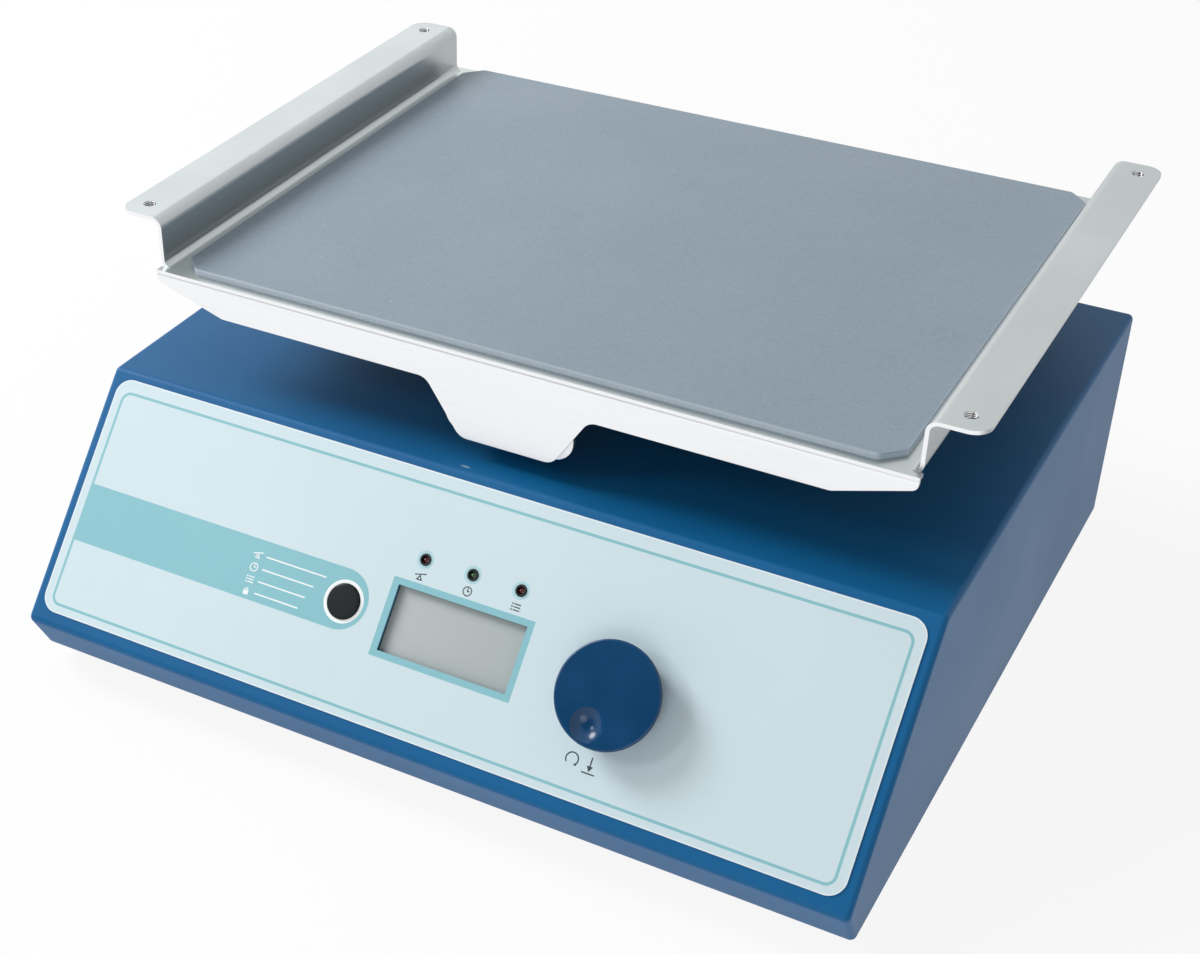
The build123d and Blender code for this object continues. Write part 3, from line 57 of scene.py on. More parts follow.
# What the film carries, in millimetres: centre across and up, width, height, corner
BORDER_PLATE = (0, 54.1, 332.6, 89.6, 3.7)
BAND_PLATE = (-116.1, 47.9, 168.4, 23.8, 11.9)
WINDOW_PLATE = (4.6, 47.05, 59.8, 31.1, 0.4)
OVERLAY_CORNER = 7
BORDER_WIDTH = 1.1
BUTTON_RING = 16.8
LAMP_HALO = 7.0
# Width of the painted highlight along the film's edge
FILM_EDGE_HIGHLIGHT = 0.45

# Small marks in the paint: where each lies, how it is stretched, and its size
PAINT_MARKS = [
    ((-13.5 * MM, NOSE_Y + 74.7 * MM, 106 * MM), (0.3, 1.0, 1.0), 0.9 * MM),
    ((1.0 * MM, NOSE_Y + 66.4 * MM, 105.3 * MM), (0.5, 1.0, 1.0), 0.7 * MM),
]

# The tray and what lies on it
FLANGE_HOLE_SPACING = (333 * MM, 214 * MM)
FLANGE_HOLE_RADIUS = 2.6 * MM
MAT_CORNER = 8 * MM
mat_low, mat_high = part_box("mat")
tray_low, tray_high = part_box("tray")
tray_centre_y = (tray_low.y + tray_high.y) / 2


# The part of a noise's range that holds most of it
NOISE_LOW = 0.3
NOISE_HIGH = 0.7


def on_panel(x, v, w=0.0):
    """A point on the sloping front: x to the right, v up the slope, w out of it."""
    return Vector((x, NOSE_Y + v * cos(SLOPE) - w * sin(SLOPE), NOSE_Z + v * sin(SLOPE) + w * cos(SLOPE)))


def paint(code):
    """A colour written as on screen, such as "cfe6ea", in Blender's linear values."""
    parts = [int(code[i : i + 2], 16) / 255 for i in (0, 2, 4)]
    linear = [p / 12.92 if p <= 0.04045 else ((p + 0.055) / 1.055) ** 2.4 for p in parts]
    return (*linear, 1.0)


class Tree:
    """Adds nodes to one node tree and joins them."""

    def __init__(self, tree):
        self.tree = tree

    def add(self, kind, inputs=None, **settings):
        node = self.tree.nodes.new(kind)
        for name, value in settings.items():
            setattr(node, name, value)
        for name, value in (inputs or {}).items():
            self.feed(node.inputs[name], value)
        return node

    def feed(self, socket, value):
        if isinstance(value, bpy.types.NodeSocket):
            self.tree.links.new(value, socket)
        else:
            socket.default_value = value

    def math(self, operation, *values, clamp=False):
        node = self.add("ShaderNodeMath", operation=operation, use_clamp=clamp)
        for socket, value in zip(node.inputs, values):
            self.feed(socket, value)
        return node.outputs[0]

    def vector(self, operation, *values):
        node = self.add("ShaderNodeVectorMath", operation=operation)
        for socket, value in zip(node.inputs, values):
            self.feed(socket, value)
        return node.outputs["Value" if operation in ("LENGTH", "DOT_PRODUCT") else "Vector"]

    def split(self, vector):
        return self.add("ShaderNodeSeparateXYZ", {"Vector": vector}).outputs

    def join(self, x, y, z):
        return self.add("ShaderNodeCombineXYZ", {"X": x, "Y": y, "Z": z}).outputs["Vector"]

    def blend(self, factor, first, second, mode="MIX"):
        node = self.add("ShaderNodeMix", data_type="RGBA", blend_type=mode)
        for place, value in ((0, factor), (6, first), (7, second)):
            self.feed(node.inputs[place], value)
        return node.outputs[2]

    def mix(self, factor, first, second):
        """One plain value that turns into another."""
        sockets = {0: factor, 2: first, 3: second}
        return self.add("ShaderNodeMix", sockets, data_type="FLOAT").outputs[0]

    def ramp(self, value, low, high, start=0.0, end=1.0):
        """Value taken from low..high to start..end, held at both ends."""
        node = self.add("ShaderNodeMapRange", {"Value": value, "From Min": low, "From Max": high,
                                               "To Min": start, "To Max": end})
        return node.outputs["Result"]

    def spread(self, noise, start=0.0, end=1.0):
        """A noise stretched so that it runs from start to end."""
        return self.ramp(noise, NOISE_LOW, NOISE_HIGH, start, end)

    def noise(self, place, scale, detail=2.0, roughness=0.5):
        node = self.add("ShaderNodeTexNoise", {"Vector": place, "Scale": scale, "Detail": detail,
                                               "Roughness": roughness})
        return node.outputs["Fac"]

    def use(self, effect, **inputs):
        node = self.add("ShaderNodeGroup", node_tree=effect)
        for name, value in inputs.items():
            self.feed(node.inputs[name.replace("_", " ").capitalize()], value)
        return node.outputs


SOCKETS = {"float": "NodeSocketFloat", "vector": "NodeSocketVector", "colour": "NodeSocketColor"}


def effect(name, inputs, outputs):
    """An empty shader node group, its tree helper, its inputs and its output node."""
    group = bpy.data.node_groups.new(name, "ShaderNodeTree")
    for label, kind, value in inputs:
        socket = group.interface.new_socket(label, in_out="INPUT", socket_type=SOCKETS[kind])
        socket.default_value = value
    for label, kind in outputs:
        group.interface.new_socket(label, in_out="OUTPUT", socket_type=SOCKETS[kind])
    tree = Tree(group)
    return group, tree, tree.add("NodeGroupInput").outputs, tree.add("NodeGroupOutput")


def panel_place_effect():
    """Turns a point of the object into its place on the sloping front: x, then up the slope."""
    group, tree, given, result = effect(
        "panel_place", [("Point", "vector", (0, 0, 0))], [("Place", "vector")]
    )
    up_slope = tree.vector("DOT_PRODUCT", given["Point"], (0, cos(SLOPE), sin(SLOPE)))
    start = NOSE_Y * cos(SLOPE) + NOSE_Z * sin(SLOPE)
    place = tree.join(tree.split(given["Point"])["X"], tree.math("SUBTRACT", up_slope, start), 0.0)
    tree.feed(result.inputs["Place"], place)
    return group


def plate_effect():
    """The distance of a flat place from a plate with rounded corners; below zero inside it."""
    group, tree, given, result = effect(
        "rounded_plate",
        [
            ("Place", "vector", (0, 0, 0)),
            ("Centre", "vector", (0, 0, 0)),
            ("Half size", "vector", (1, 1, 0)),
            ("Corner", "float", 0.0),
        ],
        [("Distance", "float")],
    )
    corner = tree.join(given["Corner"], given["Corner"], 0.0)
    off_centre = tree.vector("ABSOLUTE", tree.vector("SUBTRACT", given["Place"], given["Centre"]))
    over = tree.vector("ADD", tree.vector("SUBTRACT", off_centre, given["Half size"]), corner)
    sides = tree.split(over)
    outside = tree.vector("MULTIPLY", tree.vector("MAXIMUM", over, (0, 0, 0)), (1, 1, 0))
    inside = tree.math("MINIMUM", tree.math("MAXIMUM", sides["X"], sides["Y"]), 0.0)
    distance = tree.math("ADD", tree.vector("LENGTH", outside), inside)
    tree.feed(result.inputs["Distance"], tree.math("SUBTRACT", distance, given["Corner"]))
    return group


def ink_effect():
    """Where ink lies: 1 where Distance is below Reach, with a slightly soft edge."""
    group, tree, given, result = effect(
        "ink",
        [("Distance", "float", 0.0), ("Reach", "float", 0.0), ("Softness", "float", 0.00006)],
        [("Mask", "float")],
    )
    beyond = tree.math("SUBTRACT", given["Distance"], given["Reach"])
    fade = tree.math("DIVIDE", beyond, given["Softness"])
    tree.feed(result.inputs["Mask"], tree.math("SUBTRACT", 0.5, fade, clamp=True))
    return group


def brushing_effect():
    """Fine parallel marks of an abrasive belt, with a tone and a height."""
    group, tree, given, result = effect(
        "belt_brushing",
        [
            ("Along", "float", 0.0),
            ("Across", "float", 0.0),
            ("Coarse", "float", 900.0),
            ("Fine", "float", 3200.0),
            ("Length", "float", 14.0),
        ],
        [("Tone", "float"), ("Height", "float")],
    )
    along = tree.math("MULTIPLY", given["Along"], given["Length"])
    coarse_across = tree.math("MULTIPLY", given["Across"], given["Coarse"])
    coarse = tree.noise(tree.join(along, coarse_across, 0.0), 1.0, 3.0)
    fine_along = tree.math("MULTIPLY", along, 4.0)
    fine_across = tree.math("MULTIPLY", given["Across"], given["Fine"])
    fine = tree.noise(tree.join(fine_along, fine_across, 7.0), 1.0, 2.0)
    tone = tree.math("ADD", tree.math("MULTIPLY", coarse, 0.6), tree.math("MULTIPLY", fine, 0.4))
    tree.feed(result.inputs["Tone"], tone)
    tree.feed(result.inputs["Height"], fine)
    return group


def grain_effect():
    """The pebbled skin of powder coat, rubber and moulded plastic, with soft patches of tone."""
    group, tree, given, result = effect(
        "moulded_grain",
        [("Point", "vector", (0, 0, 0)), ("Grain", "float", 2200.0), ("Patch", "float", 18.0)],
        [("Height", "float"), ("Patches", "float")],
    )
    tree.feed(result.inputs["Height"], tree.noise(given["Point"], given["Grain"], 2.0))
    tree.feed(result.inputs["Patches"], tree.noise(given["Point"], given["Patch"], 4.0, 0.6))
    return group


PANEL_PLACE = panel_place_effect()
PLATE = plate_effect()
INK = ink_effect()
BRUSHING = brushing_effect()
GRAIN = grain_effect()


def material(name):
    """A new material, its tree helper and its Principled shader, still without inputs."""
    made = bpy.data.materials.new(name)
    made.use_nodes = True
    tree = Tree(made.node_tree)
    shader = made.node_tree.nodes["Principled BSDF"]
    point = tree.add("ShaderNodeTexCoord").outputs["Object"]
    return made, tree, shader, point


def bump(tree, shader, height, distance):
    node = tree.add("ShaderNodeBump", {"Height": height, "Distance": distance, "Strength": 1.0})
    tree.feed(shader.inputs["Normal"], node.outputs["Normal"])


def grained(name, code, dark, roughness, grain=2200.0, depth=0.00002, **sockets):
    """Paint, rubber or plastic: two close tones in soft patches over a fine grain."""
    made, tree, shader, point = material(name)
    skin = tree.use(GRAIN, point=point, grain=grain, patch=18.0)
    tone = tree.spread(skin["Patches"])
    tree.feed(shader.inputs["Base Color"], tree.blend(tone, paint(dark), paint(code)))
    gloss = tree.spread(skin["Patches"], roughness + 0.04, roughness - 0.04)
    tree.feed(shader.inputs["Roughness"], gloss)
    for label, value in sockets.items():
        shader.inputs[label.replace("_", " ")].default_value = value
    bump(tree, shader, skin["Height"], depth)
    return made


def turned(name, code, dark, roughness, scale=2600.0):
    """Plated or machined metal: fine marks all over, in two close tones."""
    made, tree, shader, point = material(name)
    parts = tree.split(point)
    marks = tree.use(
        BRUSHING,
        along=tree.math("ADD", parts["X"], parts["Z"]),
        across=parts["Y"],
        coarse=scale / 3,
        fine=scale,
        length=60.0,
    )
    tree.feed(shader.inputs["Base Color"], tree.blend(marks["Tone"], paint(dark), paint(code)))
    gloss = tree.spread(marks["Tone"], roughness - 0.05, roughness + 0.05)
    tree.feed(shader.inputs["Roughness"], gloss)
    shader.inputs["Metallic"].default_value = 1.0
    bump(tree, shader, marks["Height"], 0.000008)
    return made


def housing_paint():
    """Satin powder coat, with two small pale spots, one on the top and one in the front bend."""
    made, tree, shader, point = material("satin_blue_powder_coat")
    skin = tree.use(GRAIN, point=point, grain=1500.0, patch=9.0)
    tone = tree.spread(skin["Patches"])
    colour = tree.blend(tone, paint("095a8c"), paint("0b6093"))
    for centre, shape, size in PAINT_MARKS:
        offset = tree.vector("MULTIPLY", tree.vector("SUBTRACT", point, centre), shape)
        wobble = tree.math("MULTIPLY", tree.math("SUBTRACT", skin["Height"], 0.5), size)
        away = tree.math("ADD", tree.vector("LENGTH", offset), wobble)
        mark = tree.use(INK, distance=away, reach=size * 0.6, softness=size * 0.5)["Mask"]
        colour = tree.blend(tree.math("MULTIPLY", mark, 0.45), colour, paint("b9c9d6"))
    tree.feed(shader.inputs["Base Color"], colour)
    tree.feed(shader.inputs["Roughness"], tree.spread(skin["Patches"], 0.50, 0.44))
    shader.inputs["Specular IOR Level"].default_value = 0.42
    shader.inputs["Specular Tint"].default_value = paint("b6c0e6")
    bump(tree, shader, skin["Height"], 0.000015)
    return made


def brushed_sheet():
    """Stainless sheet, brushed all over; the aprons are painted near-white as a painted highlight, and the
    walls and the faces turned down are painted darker as painted shade.
    """
    made, tree, shader, point = material("brushed_stainless_sheet")
    parts = tree.split(point)
    facing = tree.split(tree.add("ShaderNodeTexCoord").outputs["Normal"])
    on_apron = tree.ramp(tree.math("ABSOLUTE", facing["Y"]), 0.25, 0.8)
    on_wall = tree.ramp(tree.math("ABSOLUTE", facing["X"]), 0.5, 0.9)
    side = tree.math("ADD", parts["X"], parts["Z"])
    along = tree.mix(on_apron, parts["Y"], parts["X"])
    across = tree.mix(on_apron, side, parts["Z"])
    marks = tree.use(BRUSHING, along=along, across=across, coarse=1500.0, fine=4200.0)
    cloud = tree.noise(point, 22.0, 3.0)
    colour = tree.blend(tree.ramp(cloud, 0.35, 0.75), paint("b9c0c1"), paint("c3c9c9"))
    # Painted shade: the faces turned downwards are painted darker
    colour = tree.blend(tree.ramp(facing["Z"], -0.3, -0.8), colour, paint("7f8486"))
    # Painted highlight: the aprons, facing forwards and backwards, are painted near-white
    colour = tree.blend(on_apron, colour, paint("fcfdff"))
    # Painted shade: the walls, facing the sides, are painted darker
    colour = tree.blend(on_wall, colour, paint("b0b5b7"))
    colour = tree.blend(tree.spread(marks["Tone"], 0.10, 0.0), colour, paint("7d8388"))
    tree.feed(shader.inputs["Base Color"], colour)
    on_fold = tree.math("MULTIPLY", on_apron, tree.math("SUBTRACT", 1.0, on_apron))
    rough = tree.math("ADD", tree.ramp(marks["Tone"], 0.25, 0.75, 0.27, 0.37), on_fold)
    tree.feed(shader.inputs["Roughness"], rough)
    shader.inputs["Metallic"].default_value = 1.0
    bump(tree, shader, marks["Height"], 0.000004)
    return made


def mat_rubber():
    """Grey-blue sheet with fine pale and dark flecks; a pale line along its top edge and its paler sides
    are painted highlights.
    """
    made, tree, shader, point = material("flecked_grey_mat")
    skin = tree.use(GRAIN, point=point, grain=900.0, patch=14.0)
    colour = tree.blend(tree.spread(skin["Patches"]), paint("7f909e"), paint("8394a2"))
    colour = tree.blend(tree.ramp(skin["Height"], 0.35, 0.65, 0.0, 0.3), colour, paint("98a6b0"))
    cells = tree.add("ShaderNodeTexVoronoi", {"Vector": point, "Scale": 420.0, "Randomness": 1.0})
    chance = tree.split(cells.outputs["Color"])
    dot = tree.ramp(cells.outputs["Distance"], 0.10, 0.22, 1.0, 0.0)
    pale = tree.math("MULTIPLY", dot, tree.math("GREATER_THAN", chance["X"], 0.985))
    dark = tree.math("MULTIPLY", dot, tree.math("LESS_THAN", chance["X"], 0.02))
    colour = tree.blend(tree.math("MULTIPLY", pale, 0.4), colour, paint("c8d0d6"))
    colour = tree.blend(tree.math("MULTIPLY", dark, 0.35), colour, paint("4e5a66"))
    centre = (mat_low + mat_high) / 2
    half = (mat_high - mat_low) / 2
    edge = tree.use(PLATE, place=point, centre=centre, half_size=half, corner=MAT_CORNER)["Distance"]
    # Painted highlight: a pale line along the top edge of the mat
    middle = tree.use(INK, distance=edge, reach=-0.7 * MM, softness=0.4 * MM)["Mask"]
    painted_edge_highlight = tree.math("SUBTRACT", 1.0, middle)
    colour = tree.blend(tree.math("MULTIPLY", painted_edge_highlight, 0.5), colour, paint("b4c0c9"))
    # Painted highlight: the sides, turned away from straight up, are painted paler
    upward = tree.split(tree.add("ShaderNodeTexCoord").outputs["Normal"])["Z"]
    colour = tree.blend(tree.ramp(upward, 0.6, 0.2, 0.0, 0.6), colour, paint("b9c6cf"))
    tree.feed(shader.inputs["Base Color"], colour)
    tree.feed(shader.inputs["Roughness"], tree.spread(skin["Patches"], 0.46, 0.40))
    shader.inputs["Specular IOR Level"].default_value = 0.45
    bump(tree, shader, skin["Height"], 0.00002)
    return made


def overlay_print():
    """The printed film on the sloping front, with every ink worked out from the panel's sizes, and a
    painted highlight along the film's edge.
    """
    made, tree, shader, point = material("printed_overlay_film")
    place = tree.use(PANEL_PLACE, point=point)["Place"]
    skin = tree.use(GRAIN, point=point, grain=2600.0, patch=7.0)
    teal = tree.blend(tree.spread(skin["Patches"]), paint("85bdc7"), paint("8ac1cb"))
    colour = tree.blend(tree.spread(skin["Patches"]), paint("cbdee4"), paint("cfe1e7"))

    def plate(x, v, width, height, corner):
        """Distance from a rounded plate on the panel, sizes in millimetres."""
        half = (width / 2 * MM, height / 2 * MM, 0)
        centre = (x * MM, v * MM, 0)
        return tree.use(PLATE, place=place, centre=centre, half_size=half, corner=corner * MM)["Distance"]

    def filled(distance, reach=0.0):
        return tree.use(INK, distance=distance, reach=reach * MM)["Mask"]

    def outline(distance, width):
        return filled(tree.math("ABSOLUTE", distance), width / 2)

    film_width = (overlay_high.x - overlay_low.x) / MM
    film_height = ((overlay_high - overlay_low).z / sin(SLOPE) - OVERLAY_THICKNESS / tan(SLOPE)) / MM
    film = plate(0, OVERLAY_START / MM + film_height / 2, film_width, film_height, OVERLAY_CORNER)
    border = plate(*BORDER_PLATE)
    band = plate(*BAND_PLATE)
    stripe = tree.math("MULTIPLY", filled(band), filled(border))
    for mask in (stripe, outline(border, BORDER_WIDTH), filled(plate(*WINDOW_PLATE))):
        colour = tree.blend(mask, colour, teal)
    ring = plate(BUTTON[0] / MM, BUTTON[1] / MM, BUTTON_RING, BUTTON_RING, BUTTON_RING / 2)
    colour = tree.blend(filled(ring), colour, paint("f4f8f8"))
    for x in LAMPS_X:
        halo = plate(x / MM, LAMP_V / MM, LAMP_HALO, LAMP_HALO, LAMP_HALO / 2)
        colour = tree.blend(tree.math("MULTIPLY", filled(halo), 0.8), colour, paint("a9d3db"))
    # Painted highlight: a pale line along the film's outer edge
    painted_film_edge = tree.math("SUBTRACT", 1.0, filled(film, -FILM_EDGE_HIGHLIGHT))
    colour = tree.blend(tree.math("MULTIPLY", painted_film_edge, 0.7), colour, paint("eef4f7"))
    tree.feed(shader.inputs["Base Color"], colour)
    tree.feed(shader.inputs["Roughness"], tree.spread(skin["Patches"], 0.46, 0.40))
    shader.inputs["Specular IOR Level"].default_value = 0.3
    bump(tree, shader, skin["Height"], 0.000006)
    return made


def display_panel():
    """A grey liquid-crystal panel at rest, a little darker from left to right, with a painted shadow along
    its top and left, where its recess shades it.
    """
    made, tree, shader, point = material("grey_display_panel")
    place = tree.use(PANEL_PLACE, point=point)["Place"]
    parts = tree.split(place)
    left = WINDOW[0] - WINDOW_SIZE[0] / 2
    top = WINDOW[1] + WINDOW_SIZE[1] / 2
    # Painted shadow of the recess: darker along the top and left of the window
    from_left = tree.ramp(parts["X"], left, left + 3.5 * MM, 1.0, 0.0)
    from_top = tree.ramp(parts["Y"], top - 2.5 * MM, top, 0.0, 1.0)
    across = tree.ramp(parts["X"], left, left + WINDOW_SIZE[0])
    colour = tree.blend(across, paint("b4bbbc"), paint("acb4b4"))
    shade = tree.math("MULTIPLY", tree.math("MAXIMUM", from_left, from_top), 0.45)
    colour = tree.blend(shade, colour, paint("7f8988"))
    rows = tree.noise(tree.vector("MULTIPLY", place, (30, 2400, 0)), 1.0, 1.0)
    colour = tree.blend(tree.math("MULTIPLY", rows, 0.06), colour, paint("8f9896"))
    tree.feed(shader.inputs["Base Color"], colour)
    tree.feed(shader.inputs["Roughness"], tree.spread(rows, 0.30, 0.36))
    return made


def knob_plastic():
    """Deep blue moulded plastic, faintly mottled, with a good gloss."""
    made, tree, shader, point = material("deep_blue_knob")
    skin = tree.use(GRAIN, point=point, grain=1700.0, patch=60.0)
    colour = tree.blend(tree.spread(skin["Patches"]), paint("083c64"), paint("0a426c"))
    tree.feed(shader.inputs["Base Color"], colour)
    tree.feed(shader.inputs["Roughness"], tree.spread(skin["Patches"], 0.17, 0.23))
    shader.inputs["Specular IOR Level"].default_value = 0.35
    bump(tree, shader, skin["Height"], 0.000004)
    return made


def lamp_plastic(name, code, dark):
    """The clear tinted dome of an unlit lamp, with painted light and shade: paler on its upper side, dark
    on its lower one.
    """
    made, tree, shader, point = material(name)
    place = tree.use(PANEL_PLACE, point=point)["Place"]
    parts = tree.split(place)
    swirl = tree.noise(point, 900.0, 2.0)
    # Painted light and shade: the dome paler towards its top and darker towards its bottom
    painted_upper_light = tree.ramp(tree.math("SUBTRACT", parts["Y"], LAMP_V), -1.7 * MM, 1.7 * MM)
    tone = tree.math("ADD", painted_upper_light, tree.math("MULTIPLY", swirl, 0.25))
    tree.feed(shader.inputs["Base Color"], tree.blend(tone, paint(dark), paint(code)))
    tree.feed(shader.inputs["Roughness"], tree.spread(swirl, 0.08, 0.14))
    shader.inputs["Coat Weight"].default_value = 0.6
    return made


def circuit_board():
    """Green solder mask with paler copper tracks and tinned pads under it."""
    made, tree, shader, point = material("green_circuit_board")
    tracks = tree.add("ShaderNodeTexBrick", {
        "Vector": point, "Scale": 260.0, "Mortar Size": 0.06, "Mortar Smooth": 0.1, "Bias": -0.4,
        "Brick Width": 1.7, "Row Height": 0.45,
        "Color1": paint("0f5a34"), "Color2": paint("147044"), "Mortar": paint("0b4729"),
    })
    pads = tree.add("ShaderNodeTexVoronoi", {"Vector": point, "Scale": 330.0, "Randomness": 0.25})
    pad = tree.ramp(pads.outputs["Distance"], 0.16, 0.2, 1.0, 0.0)
    chosen = tree.math("GREATER_THAN", tree.split(pads.outputs["Color"])["Y"], 0.8)
    colour = tree.blend(tree.math("MULTIPLY", pad, chosen), tracks.outputs["Color"], paint("c9c6b8"))
    tree.feed(shader.inputs["Base Color"], colour)
    tree.feed(shader.inputs["Roughness"], tree.ramp(tracks.outputs["Fac"], 0.0, 1.0, 0.28, 0.4))
    bump(tree, shader, tracks.outputs["Fac"], 0.00002)
    return made


def layered(name, code, dark, direction, pitch, roughness, metallic=0.0):
    """Something wound or stacked: even layers one pitch apart along one direction."""
    made, tree, shader, point = material(name)
    turns = tree.math("DIVIDE", tree.vector("DOT_PRODUCT", point, direction), pitch)
    wave = tree.math("ABSOLUTE", tree.math("SINE", tree.math("MULTIPLY", turns, pi)))
    uneven = tree.noise(point, 150.0, 2.0)
    tone = tree.math("MULTIPLY", wave, tree.ramp(uneven, 0.2, 0.8, 0.7, 1.0))
    tree.feed(shader.inputs["Base Color"], tree.blend(tone, paint(dark), paint(code)))
    tree.feed(shader.inputs["Roughness"], tree.spread(uneven, roughness - 0.05, roughness + 0.05))
    shader.inputs["Metallic"].default_value = metallic
    bump(tree, shader, wave, pitch * 0.3)
    return made


blue_paint = housing_paint()
stainless = brushed_sheet()
zinc = turned("zinc_plated_steel", "c3c6c9", "a9adb2", 0.34)
aluminium = turned("machined_aluminium", "d0d2d4", "b4b7ba", 0.3, 3600.0)
polished_steel = turned("ground_steel_pin", "dcdcdb", "bfc0c0", 0.18, 5200.0)
bronze = grained("sintered_bronze", "b98a4a", "9c7038", 0.42, 3000.0, 0.00001, Metallic=1.0)
black_rubber = grained("black_rubber", "232425", "18191a", 0.62, 1300.0, 0.00004)
black_plastic = grained("black_moulded_plastic", "1d1e20", "141516", 0.40, 2400.0)
key_plastic = grained("black_key_top", "15191d", "101418", 0.24, 3200.0, 0.000003, Specular_IOR_Level=0.22)
chip_plastic = grained("dark_chip_plastic", "2b2c2e", "1e1f21", 0.5, 3000.0)
lead_jacket = grained("grey_lead_jacket", "8b8f93", "7c8084", 0.45, 1800.0, 0.00001)
sleeve = grained("dark_capacitor_sleeve", "1d2a44", "162036", 0.3, 900.0, 0.00001)
core_stack = layered("varnished_core_plates", "4c4d4f", "2b2b2c", (0, 1, 0), 0.5 * MM, 0.42, 0.7)
coil_wire = layered("enamelled_coil_wire", "b5682f", "5a2d12", (0, 0, 1), 0.6 * MM, 0.32)
ribbon_jacket = layered("ribbed_ribbon_jacket", "9a9da0", "6e7276", (1, 0, 0), 1.27 * MM, 0.42)
green_board = circuit_board()

FINISHES = {
    blue_paint: ["housing_shell", "front_post", "back_post"],
    stainless: ["tray", "cradle"],
    mat_rubber(): ["mat"],
    overlay_print(): ["control_overlay"],
    display_panel(): ["display_glass"],
    knob_plastic(): ["control_knob"],
    key_plastic: ["mode_button", "mains_rocker"],
    lamp_plastic("clear_red_lamp", "6a1c2a", "1d060c"): ["red_lamps"],
    lamp_plastic("clear_green_lamp", "3d7449", "0d2413"): ["green_lamp"],
    black_rubber: ["rubber_feet", "slot_collar"],
    polished_steel: ["pivot_pins", "crank_pin", "output_shaft", "crank_roller"],
    bronze: ["pivot_bushes"],
    aluminium: ["encoder_shaft", "crank_disc", "gearbox", "heat_sink"],
    zinc: [
        "base_plate", "base_screws", "foot_screws", "board_standoffs", "board_screws", "encoder_body",
        "encoder_nut", "cradle_screws", "post_screws", "pin_clips", "drive_lever", "lever_screws",
        "motor_bracket", "motor_screws", "motor_can", "inlet_blades", "inlet_screws",
    ],
    black_plastic: [
        "display_frame", "display_carrier", "lamp_holders", "encoder_plunger", "motor_cap", "speed_disc",
        "speed_sensor", "mains_inlet", "switch_frame",
    ],
    chip_plastic: ["board_parts", "panel_switches"],
    green_board: ["control_board", "supply_board"],
    core_stack: ["transformer_core"],
    coil_wire: ["transformer_coil"],
    sleeve: ["supply_capacitors"],
    lead_jacket: ["mains_leads", "motor_lead"],
    ribbon_jacket: ["ribbon_cable"],
}
for finish, names in FINISHES.items():
    for name in names:
        for slot in nodes[name].material_slots:
            slot.material = finish


def piece(name, mesh, body, finish):
    """Puts a finished mesh into the scene, riding on a body."""
    made = bpy.data.objects.new(name, mesh)
    bpy.context.scene.collection.objects.link(made)
    if finish.name not in mesh.materials:
        mesh.materials.append(finish)
    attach(made, body)
    return made


# Printed symbols: strokes and discs of ink, a hair above the film
INK_LIFT = OVERLAY_THICKNESS + 0.01 * MM
INK_THICKNESS = 0.03 * MM
DISC_SIDES = 16


